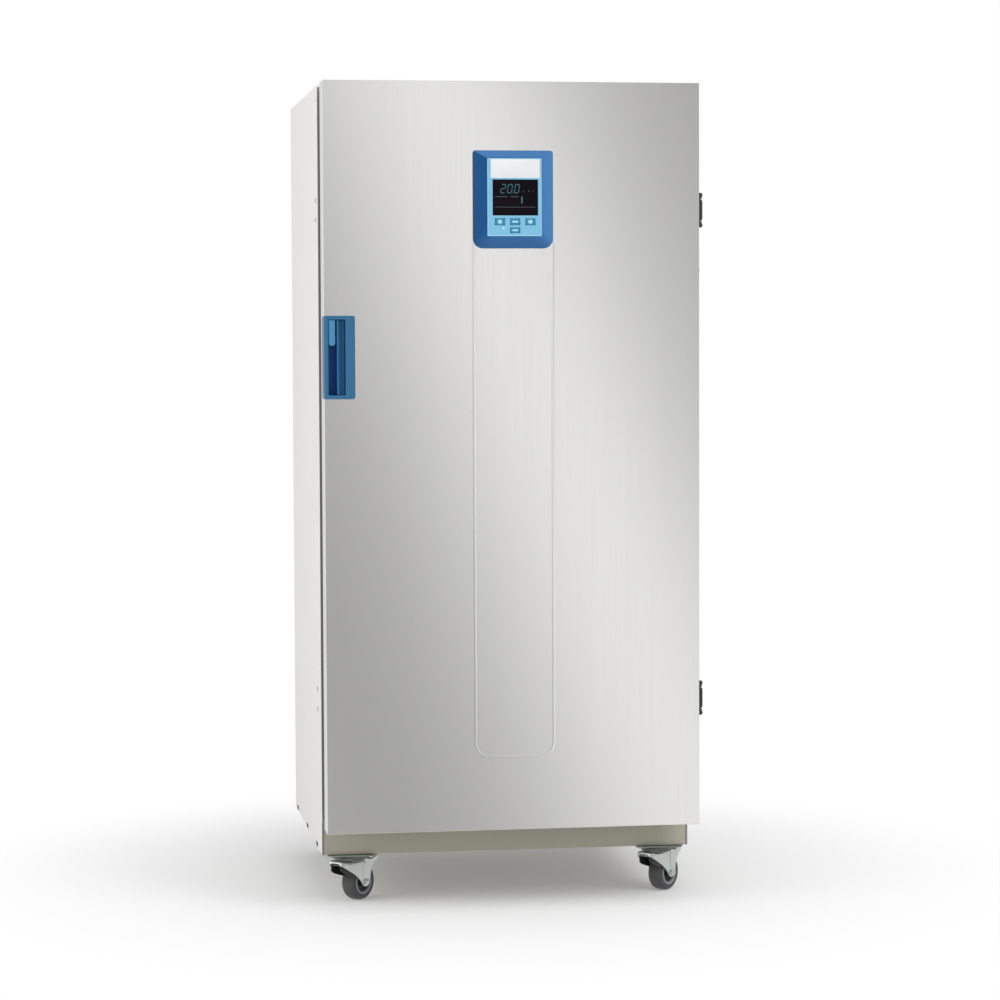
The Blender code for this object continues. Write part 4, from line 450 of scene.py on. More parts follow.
def bezel_blue():
    """Blue moulding with painted shade: darkest on the left slope, less on the lower slope and least on the top, as
    light from the upper right would leave them, and a painted shadow along the left rim; each slope is where its own
    edge is nearest.
    """
    look = scene_looks()
    finish = Finish("bezel moulding", look.blue, 0.38, Coat_Weight=0.05, Coat_Roughness=0.3, Specular_IOR_Level=0.22)
    x, _, z = finish.place()
    from_left = (x - float(PANEL_LOW[0])) * (1 / float(PAD_LOW[0] - PANEL_LOW[0]))
    from_right = (float(PANEL_HIGH[0]) - x) * (1 / float(PANEL_HIGH[0] - PAD_HIGH[0]))
    from_base = (z - float(PANEL_LOW[2])) * (1 / float(PAD_LOW[2] - PANEL_LOW[2]))
    from_top = (float(PANEL_HIGH[2]) - z) * (1 / float(PANEL_HIGH[2] - PAD_HIGH[2]))
    nearest_side = from_left.at_most(from_right)
    # Painted shade: the left, lower and top slopes are darkened toward the deep blue, as light from the upper right
    # would leave them.
    left_slope_shade = (from_left - from_top).fade(-0.10, 0.10, 1.0, 0.0)
    left_slope_shade = left_slope_shade.at_most((from_left - from_base).fade(-0.9, 0.9, 1.0, 0.0))
    base_slope_shade = (from_base - nearest_side).fade(-0.9, 0.9, 0.50, 0.0)
    top_slope_shade = (from_top - nearest_side).fade(-0.10, 0.10, 0.18, 0.0)
    patch = finish.grain((40, 40, 40), 3.0)
    depth = left_slope_shade + base_slope_shade + top_slope_shade + 0.08 * (patch - 0.5)
    body = finish.blend(depth.at_least(0.0).at_most(1.0), look.blue, look.blue_painted_shade)
    # Painted shadow: a dark grey band along the bezel's left rim.
    rim = from_left.fade(0.02, 0.17, 0.8, 0.0)
    finish.colour(finish.blend(rim, body, look.rim_painted_shadow))
    return finish.bump(finish.grain(MOULD_TEXTURE, 2.0), 0.00002).material


def handle_blue():
    """Blue moulding with painted shade that darkens it toward the back of its hollows, by a blend along Y, and a
    painted lighter blue on the recess floor.
    """
    look = scene_looks()
    finish = Finish(
        "handle moulding", look.handle_blue, 0.36, Coat_Weight=0.08, Coat_Roughness=0.2, Specular_IOR_Level=0.25
    )
    x, y, _ = finish.place()
    patch = finish.grain((40, 40, 40), 3.0)
    # Painted shade: the moulding darkens toward the back of its hollows.
    mask = y.fade(-0.3690, -0.3786) + 0.08 * (patch - 0.5)
    hollow_painted_shade = finish.blend(mask.at_least(0.0).at_most(1.0), look.handle_painted_shade, look.handle_blue)
    # Painted light: the recess floor is made a brighter blue to offset the shadow that falls in it.
    inside = x.above(float(HANDLE_LOW[0]) + 0.005)
    finish.colour(finish.blend(y.fade(-0.3680, -0.3640) * inside, hollow_painted_shade, look.handle_floor_painted_light))
    return finish.bump(finish.grain(MOULD_TEXTURE, 2.0), 0.00002).material


def seal_rubber():
    """Dull rubber with a fine skin."""
    finish = Finish("seal rubber", (0.045, 0.045, 0.045), 0.75, Specular_IOR_Level=0.12)
    worn = finish.grain((60, 60, 60), 3.0)
    finish.colour(finish.blend(worn, (0.045, 0.045, 0.045), (0.03, 0.03, 0.031)))
    return finish.bump(finish.grain((800, 800, 800), 2.0), 0.00003).material


def tyre_rubber():
    finish = Finish("caster tread", scene_looks().tyre, 0.6)
    patch = finish.grain((90, 90, 90), 4.0)
    finish.colour(finish.blend(patch, scene_looks().tyre, (0.075, 0.072, 0.070)))
    return finish.bump(finish.grain((900, 900, 900), 3.0), 0.00006).material


def foam():
    finish = Finish("rigid foam", (0.80, 0.72, 0.50), 0.9)
    cells = finish.grain((500, 500, 500), 3.0)
    finish.colour(finish.blend(cells, (0.80, 0.72, 0.50), (0.66, 0.57, 0.36)))
    return finish.bump(cells, 0.0004).material


def clear_glass():
    """Clear plate, its film of dust a little uneven."""
    finish = Finish("toughened glass", (0.86, 0.93, 0.91), 0.02, Alpha=0.15, Coat_Weight=0.6)
    film = finish.grain((9, 9, 9), 3.0)
    finish.colour(finish.blend(film, (0.86, 0.93, 0.91), (0.80, 0.88, 0.86)))
    finish.roughness(0.015 + 0.03 * film)
    return finish.material


def window_glass():
    """Dark window with a faint plum haze."""
    finish = Finish("display window", (0.006, 0.006, 0.008), 0.28, Specular_IOR_Level=0.06)
    haze = finish.grain((30, 30, 30), 2.0)
    finish.colour(finish.blend(haze, (0.003, 0.0035, 0.006), (0.009, 0.0045, 0.007)))
    return finish.material


def lit(name, colour, strength):
    """Lit strokes, a little uneven as through a diffuser."""
    finish = Finish(name, [tone * 0.2 for tone in colour], 0.5, Emission_Strength=strength, Specular_IOR_Level=0.1)
    uneven = finish.grain((350, 350, 350), 2.0)
    glow = finish.blend(uneven, colour, [tone * 0.65 for tone in colour])
    finish.feed(finish.shader.inputs["Emission Color"], glow)
    return finish.material


MADE = {}


def finish_of(name):
    """The named material, made once."""
    look = scene_looks()
    makers = {
        "white": white_coat,
        "door": door_steel,
        "stainless": chamber_steel,
        "strip": lambda: plain_metal("base strip", look.strip, 0.5, 0.02, 20, 0.0),
        "zinc": lambda: plain_metal("zinc plate", look.zinc, 0.34),
        "galvanised": lambda: plain_metal("galvanised sheet", (0.55, 0.56, 0.56), 0.5, 0.08, 25),
        "aluminium": lambda: plain_metal("mill aluminium", (0.75, 0.76, 0.77), 0.38, 0.04),
        "bare steel": lambda: plain_metal("bare steel", (0.60, 0.60, 0.60), 0.3, 0.04),
        # Painted shade: darker than the fork's zinc, as the plate and race sit in shade under the cabinet.
        "raceway": lambda: plain_metal("swivel raceway", (0.26, 0.28, 0.27), 0.42, 0.08, 120),
        "dark": lambda: moulded("dark moulding", (0.055, 0.055, 0.055), 0.7, 0.0, 0.00003, 0.12),
        "black": lambda: moulded("black moulding", (0.018, 0.018, 0.019), 0.42),
        "grey": lambda: moulded("grey moulding", (0.42, 0.43, 0.44), 0.5),
        "bezel": bezel_blue,
        "grip": handle_blue,
        # Painted highlight: the tab is a lighter blue than the handle moulding, as if lit.
        "tab": lambda: moulded("handle tab", (0.070, 0.26, 0.45), 0.36, 0.0, 0.00002, 0.3),
        "pad": lambda: moulded("keypad membrane", look.pad_blue, 0.45, 0.0, 0.00001),
        "key": lambda: moulded("key cap", look.key_blue, 0.42),
        "key mark": lambda: moulded("key mark", (0.42, 0.70, 0.82), 0.45),
        "pad rim": lambda: moulded("keypad rim", (0.38, 0.66, 0.81), 0.45),
        "label": lambda: moulded("bare label", (0.80, 0.81, 0.84), 0.4, 0.1, 0.000005),
        "enamel": lambda: moulded("black enamel", (0.025, 0.025, 0.026), 0.3, 0.4),
        "seal": seal_rubber,
        # Painted shadow: grey strips that stand for the shadow in the gaps at the door's edges and the base strip's
        # ends.
        "gap seal": lambda: moulded("grey edge seal", (0.27, 0.265, 0.26), 0.7, 0.0, 0.00003, 0.15),
        "tyre": tyre_rubber,
        "core": lambda: moulded("wheel rim", look.core_grey, 0.45),
        "dish": lambda: moulded("wheel dish", (0.022, 0.022, 0.024), 0.5),
        "foam": foam,
        "glass": clear_glass,
        "window": window_glass,
        "digits": lambda: lit("display digits", look.digits, 0.9),
        "faint digits": lambda: lit("display lines", (0.12, 0.16, 0.18), 0.5),
    }
    if name not in MADE:
        MADE[name] = makers[name]()
    return MADE[name]


# What a user would change

def length_property(name, description, default):
    return FloatProperty(name=name, description=description, default=default, unit="LENGTH")


def colour_property(name, description, default):
    return FloatVectorProperty(name=name, description=description, default=default, subtype="COLOR")


class IncubatorSizes(bpy.types.PropertyGroup):
    groove_half_width: length_property(
        "Outline half width", "From the middle to the pressed outline in the door", 0.0793
    )
    groove_bottom: length_property("Outline bottom", "Height of the pressed outline's lower run", 0.310)
    groove_corner: length_property("Outline corner", "Corner radius of the pressed outline", 0.028)
    groove_width: length_property("Bead width", "Width of the pressed bead", 0.007)
    groove_depth: length_property("Bead depth", "Depth of the pressed bead", 0.00004)
    handle_flange: length_property("Handle flange", "How far the handle laps over the door", 0.0015)
    edge_radius: length_property("Sheet edge", "Rounding of the folded sheet edges", 0.0016)
    wheel_steps: IntProperty(name="Wheel steps", description="Steps round each wheel", default=72, min=24)


class IncubatorLooks(bpy.types.PropertyGroup):
    coat_white: colour_property("Coat", "Powder coat of the cabinet", (0.86, 0.85, 0.835))
    steel: colour_property("Steel", "Brushed stainless steel", (0.74, 0.735, 0.725))
    steel_roughness: FloatProperty(
        name="Steel roughness", description="Least roughness of the brushed steel", default=0.14, min=0.0, max=1.0
    )
    strip: colour_property("Base strip", "Coat of the strip under the door", (0.45, 0.43, 0.345))
    zinc: colour_property("Zinc", "Zinc plate of the casters", (0.66, 0.70, 0.67))
    blue: colour_property("Blue", "Bezel moulding", (0.055, 0.185, 0.42))
    # Painted shade: the darker blue that is blended over the bezel's slopes.
    blue_painted_shade: colour_property("Deep blue", "The bezel's left slope", (0.002, 0.068, 0.215))
    # Painted shadow: the dark grey of the bezel's left rim.
    rim_painted_shadow: colour_property("Bezel rim", "The bezel's left rim", (0.03, 0.05, 0.08))
    handle_blue: colour_property("Handle", "Handle moulding", (0.032, 0.14, 0.27))
    # Painted shade: the darker blue blended into the handle's hollows.
    handle_painted_shade: colour_property("Deep handle", "The handle in its hollows", (0.001, 0.055, 0.19))
    # Painted light: a brighter blue that offsets the shadow on the recess floor.
    handle_floor_painted_light: colour_property("Handle floor", "The floor of the finger recess", (0.001, 0.16, 0.52))
    pad_blue: colour_property("Keypad", "Keypad membrane", (0.20, 0.51, 0.73))
    key_blue: colour_property("Keys", "Key caps", (0.035, 0.24, 0.40))
    digits: colour_property("Digits", "Lit digits of the display", (0.05, 0.15, 0.18))
    tyre: colour_property("Tread", "Rubber of the casters", (0.045, 0.044, 0.046))
    core_grey: colour_property("Wheel core", "Plastic core of the casters", (0.24, 0.25, 0.27))


def scene_sizes():
    return bpy.context.scene.incubator_sizes


def scene_looks():
    return bpy.context.scene.incubator_looks


# Pieces

class StageOperator(bpy.types.Operator):
    """Makes the floor, the backdrop, the lamps and the camera at the photograph's angle."""

    bl_idname = "incubator.stage"
    bl_label = "Stage"

    def execute(self, context):
        self.make_floor()
        self.make_world(context.scene)
        self.make_lamps(context.scene)
        self.make_camera(context.scene)
        context.scene.view_settings.view_transform = "Standard"
        return {"FINISHED"}

    def make_floor(self):
        """A flat square; the camera sees pale paint that fades to white, and reflections pass through it."""
        half = 12.0
        points = np.array([(-half, -half, 0), (half, -half, 0), (half, half, 0), (-half, half, 0)], float)
        mesh = bpy.data.meshes.new("studio_floor")
        mesh.from_pydata(points, [], [(0, 1, 2, 3)])
        finish = Finish("studio floor", (0.86, 0.86, 0.86), 0.9)
        finish.feed(finish.shader.inputs["Specular IOR Level"], 0.0)
        output = finish.tree.nodes["Material Output"]
        ray = finish.add("ShaderNodeLightPath", out="Is Glossy Ray")
        clear = finish.add("ShaderNodeBsdfTransparent")
        paint_out = Wire(finish, finish.shader.outputs["BSDF"])
        white = finish.add("ShaderNodeEmission", None, {"Color": (1, 1, 1, 1), "Strength": 1.0})
        seen = finish.add("ShaderNodeLightPath", out="Is Camera Ray")
        x, y, _ = finish.place()
        away = (x * x + (y - 0.07) * (y - 0.07)) ** 0.5
        pale = away.fade(0.30, 1.25, 0.18, 1.0) * seen
        lifted = finish.add("ShaderNodeMixShader", None, {0: pale, 1: paint_out, 2: white})
        mixed = finish.add("ShaderNodeMixShader", None, {0: ray, 1: lifted, 2: clear})
        finish.feed(output.inputs["Surface"], mixed)
        floor = link("studio_floor", mesh, finish.material)

    def make_world(self, scene):
        """White for the camera, plain grey light on the object, and a soft slanting band for reflections."""
        world = bpy.data.worlds.new("studio")
        scene.world = world
        world.use_nodes = True
        nodes = Finish.__new__(Finish)
        nodes.tree = world.node_tree
        output = world.node_tree.nodes["World Output"]
        background = world.node_tree.nodes["Background"]
        where = nodes.add("ShaderNodeTexCoord", out="Generated")
        x, y, z = (nodes.add("ShaderNodeSeparateXYZ", None, {0: where}, axis) for axis in ("X", "Y", "Z"))
        ahead = (0.0 - y).at_least(0.05)
        slant = (x * 0.941 + z * 0.338).maths("DIVIDE", ahead)
        tones = (
            (-0.10, 1.20), (-0.04, 0.95), (0.00, 0.62), (0.03, 0.28), (0.05, 0.28), (0.07, 0.31), (0.09, 0.66),
            (0.11, 0.54), (0.13, 1.24), (0.15, 2.04), (0.17, 1.36), (0.19, 0.55), (0.21, 0.52), (0.23, 0.46),
            (0.26, 0.49), (0.32, 0.36), (0.40, 0.41),
        )
        stops = [((place + 0.10) / 0.50, tone / 2.04) for place, tone in tones]
        ramp = nodes.add("ShaderNodeValToRGB", {"stops": stops}, {0: (slant + 0.10) * 2.0})
        front = y.fade(-0.80, -0.45, 1.0, 0.0)
        band = ramp * 2.04 * front + 0.80 * (1.0 - front)
        side = x.fade(-0.55, -0.85, 0.0, 1.0)
        tone = band * (1.0 - side) + 1.25 * side
        glossy = nodes.add("ShaderNodeBackground", None, {"Color": (1, 1, 1, 1), "Strength": tone})
        white = nodes.add("ShaderNodeBackground", None, {"Color": (1, 1, 1, 1), "Strength": 1.0})
        nodes.feed(background.inputs["Color"], (1, 1, 1, 1))
        nodes.feed(background.inputs["Strength"], 0.52)
        plain = Wire(nodes, background.outputs[0])
        is_glossy = nodes.add("ShaderNodeLightPath", out="Is Glossy Ray")
        is_camera = nodes.add("ShaderNodeLightPath", out="Is Camera Ray")
        lit_world = nodes.add("ShaderNodeMixShader", None, {0: is_glossy, 1: plain, 2: glossy})
        seen = nodes.add("ShaderNodeMixShader", None, {0: is_camera, 1: lit_world, 2: white})
        nodes.feed(output.inputs["Surface"], seen)

    def make_lamps(self, scene):
        """Three large soft panels, to the right, to the left and above, all kept out of reflections."""
        lamps = (
            ("soft_right", (2.6, -3.2, 3.4), (0.1, -0.2, 0.9), 2.4, 105.0),
            ("soft_left", (-3.6, -1.6, 2.6), (-0.3, 0.1, 0.9), 2.2, 56.0),
            ("soft_top", (0.2, -0.6, 4.4), (0.0, 0.0, 1.0), 2.6, 26.0),
        )
        for name, place, aim, width, power in lamps:
            lamp = bpy.data.lights.new(name, "AREA")
            lamp.shape = "SQUARE"
            lamp.size = width
            lamp.energy = power
            obj = bpy.data.objects.new(name, lamp)
            obj.location = place
            obj.rotation_euler = (Vector(aim) - Vector(place)).to_track_quat("-Z", "Y").to_euler()
            obj.visible_glossy = False
            scene.collection.objects.link(obj)

    def make_camera(self, scene):
        """Turned from straight ahead by yaw, then pitch, then roll, as fitted to the cabinet's edges."""
        yaw, pitch, roll = (math.radians(angle) for angle in (8.570, 3.150, -0.2263))
        ahead = Vector((math.sin(yaw), math.cos(yaw), 0.0))
        right = Vector((math.cos(yaw), -math.sin(yaw), 0.0))
        up = Vector((0.0, 0.0, 1.0))
        look = math.cos(pitch) * ahead - math.sin(pitch) * up
        above = math.cos(pitch) * up + math.sin(pitch) * ahead
        across = math.cos(roll) * right + math.sin(roll) * above
        crown = math.cos(roll) * above - math.sin(roll) * right
        turn = Matrix((across, crown, -look)).transposed()
        data = bpy.data.cameras.new("camera")
        data.sensor_width = 36.0
        data.lens = 107.35
        camera = bpy.data.objects.new("camera", data)
        camera.matrix_world = Matrix.Translation((-0.9124, -6.2448, 1.1513)) @ turn.to_4x4()
        scene.collection.objects.link(camera)
        scene.camera = camera


class CabinetOperator(bpy.types.Operator):
    """Dresses the cabinet's outer sheets, its base strip, its plugs and its rear fixings."""

    bl_idname = "incubator.cabinet"
    bl_label = "Cabinet sheets"

    def execute(self, context):
        for node in ("left_side_panel", "right_side_panel", "top_panel"):
            softened(node, "white", 0.0011, 3)
        softened("rear_panel", "galvanised", 0.0004)
        paint("galvanised", "machine_cover")
        softened("base_frame", "strip", 0.0006)
        softened("front_collar", "dark", 0.0008)
        softened("power_inlet", "black", 0.0006)
        paint("foam", "insulation_jacket", "door_insulation")
        self.side_plugs()
        self.edge_shadow_strip()
        self.rear_screws()
        self.inlet_pins()
        return {"FINISHED"}

    def side_plugs(self):
        """Round caps over the spare hinge holes of the left side: r on a quarter ellipse over the cap's rise."""
        face = float(SIDE_LOW[0])
        places = [(face, -0.218, 1.425), (face, -0.215, 1.3865), (face, -0.187, 0.432), (face, -0.192, 0.391)]
        angle = np.linspace(0, np.pi / 2, 5)
        profile = [(0.0062, -0.0002)] + [(0.0062 * math.cos(a), 0.0016 * math.sin(a)) for a in angle]
        grids = [turned_grid(profile, place, (-1, 0, 0), 24) for place in places]
        add_piece("hinge_hole_caps", grids, "grey", "cabinet")
        # Slots at the side panel's lower edge, their darkness a painted shade: dark plates stand for the shade inside
        # them.
        grids = [
            plate_rings(
                (face, y, 0.1064), (0.036, 0.0094), [0.0044] * 4, [(0, -0.0002), (0.0003, 0.0004)], (-1, 0, 0)
            )
            for y in (-0.148, 0.083, 0.330)
        ]
        add_piece("lower_slots", grids, "dark", "cabinet")
        mark = screws("upper_screw", [(face, -0.2440, 1.624)], (-1, 0, 0), "grey", 0.0022, 0.0008)
        on_body(mark, "cabinet")

    def edge_shadow_strip(self):
        """Grey strips painted as the shadow in the gaps at both ends of the base strip and up both front edges, each
        a rounded plate.
        """
        front, middle = float(low("base_frame")[1]), float(low("base_frame")[2] + 0.03375)
        grids = [
            plate_rings(
                (sign * 0.3759, front, middle), (0.0040, 0.067), [0.0004] * 4, rolled_edge(0.0006, 0.0003, 2),
                (0, -1, 0), 2,
            )
            for sign in (-1, 1)
        ]
        add_piece("strip_end_seals", grids, "gap seal", "cabinet")
        edge, bottom, top = float(SIDE_LOW[1]), float(high("base_frame")[2]) + 0.0005, float(SIDE_HIGH[2]) - 0.0040
        grids = [
            plate_rings(
                (sign * 0.3739, edge, (bottom + top) / 2), (0.0068, top - bottom), [0.0006] * 4,
                rolled_edge(0.0008, 0.0004, 2), (0, -1, 0), 2,
            )
            for sign in (-1, 1)
        ]
        add_piece("door_gap_seals", grids, "gap seal", "cabinet")

    def rear_screws(self):
        box_low, box_high = low("rear_panel"), high("rear_panel")
        face = float(box_high[1])
        heights = np.linspace(box_low[2] + 0.03, box_high[2] - 0.03, 7)
        places = [(x, face, z) for z in heights for x in (box_low[0] + 0.03, box_high[0] - 0.03)]
        cover_low, cover_high = low("machine_cover"), high("machine_cover")
        for z in (cover_low[2] + 0.05, cover_high[2] - 0.02):
            places += [(x, face, z) for x in (cover_low[0] + 0.03, 0.0, cover_high[0] - 0.03)]
        heads = screws("rear_screws", places, (0, 1, 0), "bare steel", 0.0035, 0.0012)
        on_body(heads, "cabinet")

    def inlet_pins(self):
        """Three blades stand in the inlet's socket, each a small rounded plate drawn out along Y."""
        middle = (low("power_inlet") + high("power_inlet")) / 2
        places = [(-0.007, 0.002), (0.007, 0.002), (0.0, -0.003)]
        start = float(high("power_inlet")[1]) - 0.0158
        grids = [
            plate_rings(
                (middle[0] + x, start, middle[2] + z), (0.002, 0.006), [0.0009] * 4,
                [(0, 0), (0, 0.0105), (0.0005, 0.0115)], (0, 1, 0), 3,
            )
            for x, z in places
        ]
        add_piece("inlet_pins", grids, "bare steel", "cabinet")


class DoorOperator(bpy.types.Operator):
    """Dresses the door's skin, inner pan and gasket."""

    bl_idname = "incubator.door"
    bl_label = "Door"

    def execute(self, context):
        softened("door_skin", "door", scene_sizes().edge_radius, 3)
        softened("door_liner", "dark", 0.0010)
        self.pressed_outline()
        self.gasket()
        softened("cable_grommet", "grey", 0.0010, 3)
        softened("latch_hook", "zinc", 0.0003)
        paint("zinc", "strike_plate")
        return {"FINISHED"}

    def pressed_outline(self):
        """A shallow bead below the panel, raised by depth * cos(pi u / 2)^2 where u runs from -1 to 1 across it."""
        size = scene_sizes()
        top = float(PANEL_LOW[2]) + 0.016
        bottom, corner, half = size.groove_bottom, size.groove_corner, size.groove_width / 2
        across = np.linspace(-1, 1, 13)
        rises = size.groove_depth * np.cos(np.pi * across / 2) ** 2
        profile = [*zip((across * half).tolist(), rises.tolist()), (half, -0.0001), (-half, -0.0001)]
        rings = plate_rings(
            (0.0003, DOOR_FACE, (top + bottom) / 2), (2 * size.groove_half_width, top - bottom),
            [corner, corner, 0.005, 0.005], profile, (0, -1, 0), 12,
        )
        on_body(add_ring("pressed_outline", rings, "door"), "door")

    def gasket(self):
        """A ring of rounded rectangles whose cross-section is a soft bellows: width w(t), depth y(t)."""
        ring_low, ring_high = low("door_gasket"), high("door_gasket")
        width = 0.016
        front, back = ring_low[1], ring_high[1]
        section = [
            (0.0, 0.0), (0.0005, 0.28), (0.002, 0.42), (0.0005, 0.56), (0.0, 0.9), (0.0012, 1.0),
            (width - 0.0012, 1.0), (width, 0.9), (width - 0.0005, 0.56), (width - 0.002, 0.42),
            (width - 0.0005, 0.28), (width, 0.0),
        ]
        size = (ring_high[0] - ring_low[0], ring_high[2] - ring_low[2])
        centre = ((ring_low[0] + ring_high[0]) / 2, front, (ring_low[2] + ring_high[2]) / 2)
        profile = [(inset, share * (back - front)) for inset, share in section]
        rings = plate_rings(centre, size, [0.003] * 4, profile, (0, 1, 0), 3)
        stand_for(add_ring("bellows_gasket", rings, "seal", 50), "door_gasket")


class PanelOperator(bpy.types.Operator):
    """Makes the control panel: bezel, keypad, bare label, display with its digits, keys and lamp."""

    bl_idname = "incubator.control_panel"
    bl_label = "Control panel"

    def execute(self, context):
        self.bezel()
        paint("pad", "keypad_panel")
        self.pad_rim()
        self.label()
        self.window()
        self.digits()
        self.keys()
        return {"FINISHED"}

    def bezel(self):
        """Rings run from the outer outline to the opening, P = (1 - t) outer + t inner, and rise as sin(1.25 t)."""
        centre = (PANEL_LOW + PANEL_HIGH) / 2
        size = PANEL_HIGH - PANEL_LOW
        face, front = DOOR_FACE - 0.0003, float(PANEL_LOW[1])
        outer = rounded_outline(size[0], size[2], (0.020, 0.020, 0.006, 0.006), 8) + centre[[0, 2]]
        pad_size = PAD_HIGH - PAD_LOW
        pad_centre = (PAD_LOW + PAD_HIGH)[[0, 2]] / 2
        inner = rounded_outline(pad_size[0] + 0.0006, pad_size[2] + 0.0006, [0.0012] * 4, 8) + pad_centre
        ledge = rounded_outline(pad_size[0] - 0.006, pad_size[2] - 0.006, [0.0012] * 4, 8) + pad_centre
        proud = face - front
        steps = np.linspace(0, 1, 12)
        rows = [(outer, face), (outer, face - 0.14 * proud)]
        for t in steps:
            blend = 0.015 + 0.93 * t
            rise = 0.22 + 0.78 * math.sin(t * 1.25) / math.sin(1.25)
            rows.append(((1 - blend) * outer + blend * inner, face - rise * proud))
        floor = float(PAD_HIGH[1]) + 0.0003
        rows += [(inner, front + 0.0006), (inner, floor), (ledge, floor), (ledge, face)]
        rings = np.stack([np.stack([flat[:, 0], np.full(len(flat), y), flat[:, 1]], axis=-1) for flat, y in rows])
        stand_for(add_ring("bevelled_bezel", rings, "bezel", 20), "display_bezel")

    def pad_rim(self):
        """A pale bead round the keypad: rounded rectangles joined into a ring 1.6 mm wide."""
        centre, size = (PAD_LOW + PAD_HIGH) / 2, PAD_HIGH - PAD_LOW
        profile = [(0.0004, -0.0001), (0.0004, 0.0003), (0.0020, 0.0003), (0.0020, -0.0001)]
        rings = plate_rings((centre[0], PAD_LOW[1], centre[2]), (size[0], size[2]), [0.0022] * 4, profile, (0, -1, 0))
        on_body(add_ring("keypad_rim", rings, "pad rim"), "door")

    def label(self):
        """A bare pale plate where such a panel carries a name."""
        front = float(PAD_LOW[1])
        plate = pressed_plate(
            "bare_label", (0.0028, front, 1.48175), (0.098, 0.0373), [0.001] * 4, rolled_edge(0.00025, 0.0001, 2),
            (0, -1, 0), "label",
        )
        on_body(plate, "door")

    def window(self):
        size = WINDOW_HIGH - WINDOW_LOW
        centre = (WINDOW_LOW + WINDOW_HIGH) / 2
        plate = pressed_plate(
            "dark_window", (centre[0], float(WINDOW_HIGH[1]), centre[2]), (size[0], size[2]), [0.0008] * 4,
            rolled_edge(size[1], 0.0004, 3), (0, -1, 0), "window",
        )
        stand_for(plate, "display_window")

    def digits(self):
        """Seven-segment strokes: each is a hexagon, half a stroke wide and pointed at both ends, then slanted."""
        face = float(WINDOW_LOW[1])
        width, height, stroke, slant = 0.0082, 0.0165, 0.0019, 0.16
        segments = {
            "a": ((0, 1), (1, 1)), "b": ((1, 1), (1, 0.5)), "c": ((1, 0.5), (1, 0)), "d": ((1, 0), (0, 0)),
            "e": ((0, 0), (0, 0.5)), "f": ((0, 0.5), (0, 1)), "g": ((0, 0.5), (1, 0.5)),
        }
        lit_segments = {"2": "abged", "0": "abcdef", "1": "bc"}
        strokes = []
        for digit, left in (("2", -0.0255), ("0", -0.0120), ("0", 0.0020)):
            for segment in lit_segments[digit]:
                ends = np.array(segments[segment], float) * (width, height) + (left, 1.4338)
                strokes.append((ends, stroke))
        dot = np.array([(0.0, 0.0), (0.0001, 0.0)]) + (-0.0014, 1.4340)
        strokes.append((dot, stroke))
        self.draw_strokes("display_digits", strokes, face, slant, "digits")
        tick = np.array([(0.0160, 1.4275), (0.0160, 1.4120)])
        self.draw_strokes("display_step", [(tick, 0.0034)], face, 0.0, "digits")
        lines = [
            (np.array([(-0.0380, 1.4262), (-0.0130, 1.4262)]), 0.0014),
            (np.array([(-0.0070, 1.4262), (0.0100, 1.4262)]), 0.0014),
            (np.array([(-0.0380, 1.4056), (0.0435, 1.4056)]), 0.0010),
            (np.array([(0.0190, 1.4385), (0.0190, 1.4345)]), 0.0014),
            (np.array([(0.0300, 1.4400), (0.0300, 1.4350)]), 0.0016),
            (np.array([(0.0370, 1.4375), (0.0400, 1.4375)]), 0.0016),
        ]
        self.draw_strokes("display_lines", lines, face, 0.0, "faint digits")

    def draw_strokes(self, name, strokes, face, slant, finish):
        """Each stroke is a flat hexagon lifted 0.1 mm off the window: x leans by slant times the height."""
        grids = []
        for ends, stroke in strokes:
            run = ends[1] - ends[0]
            along = run / max(np.linalg.norm(run), 1e-9)
            side = np.array((-along[1], along[0]))
            start, end = ends[0] + along * stroke * 0.12, ends[1] - along * stroke * 0.12
            half = stroke / 2
            flat = np.array([
                start, start + half * (along + side), end - half * (along - side), end,
                end - half * (along + side), start + half * (along - side),
            ])
            flat[:, 0] += slant * (flat[:, 1] - 1.4420)
            depths = (face + 0.0001, face - 0.0001)
            rows = [np.stack([flat[:, 0], np.full(6, y), flat[:, 1]], axis=-1) for y in depths]
            grids.append(np.stack(rows))
        add_piece(name, grids, finish, "door")

    def keys(self):
        """Rounded caps with a raised pale mark on each, and a small round lamp beside the lower key."""
        for node in ("key_left", "key_middle", "key_right", "key_lower"):
            box_low, box_high = low(node), high(node)
            centre, size = (box_low + box_high) / 2, box_high - box_low
            cap = pressed_plate(
                f"{node}_cap", (centre[0], box_high[1], centre[2]), (size[0], size[2]), [0.0032] * 4,
                rolled_edge(size[1], 0.0008, 4), (0, -1, 0), "key",
            )
            stand_for(cap, node)
            mark_size = (0.0088, 0.0080) if node in ("key_left", "key_right") else (0.0122, 0.0036)
            mark = pressed_plate(
                f"{node}_mark", (centre[0], box_low[1] + 0.0001, centre[2]), mark_size,
                [min(mark_size) * 0.48] * 4, rolled_edge(0.0003, 0.0002, 3), (0, -1, 0), "key mark",
            )
            on_body(mark, node)
        angle = np.linspace(0, np.pi / 2, 5)
        dome = [(0.0022, -0.0002)] + [(0.0022 * math.cos(a), 0.0008 * math.sin(a)) for a in angle]
        lamp = turned("status_lamp", dome, (-0.0211, float(PAD_LOW[1]), 1.3637), (0, -1, 0), 20, "label")
        on_body(lamp, "door")


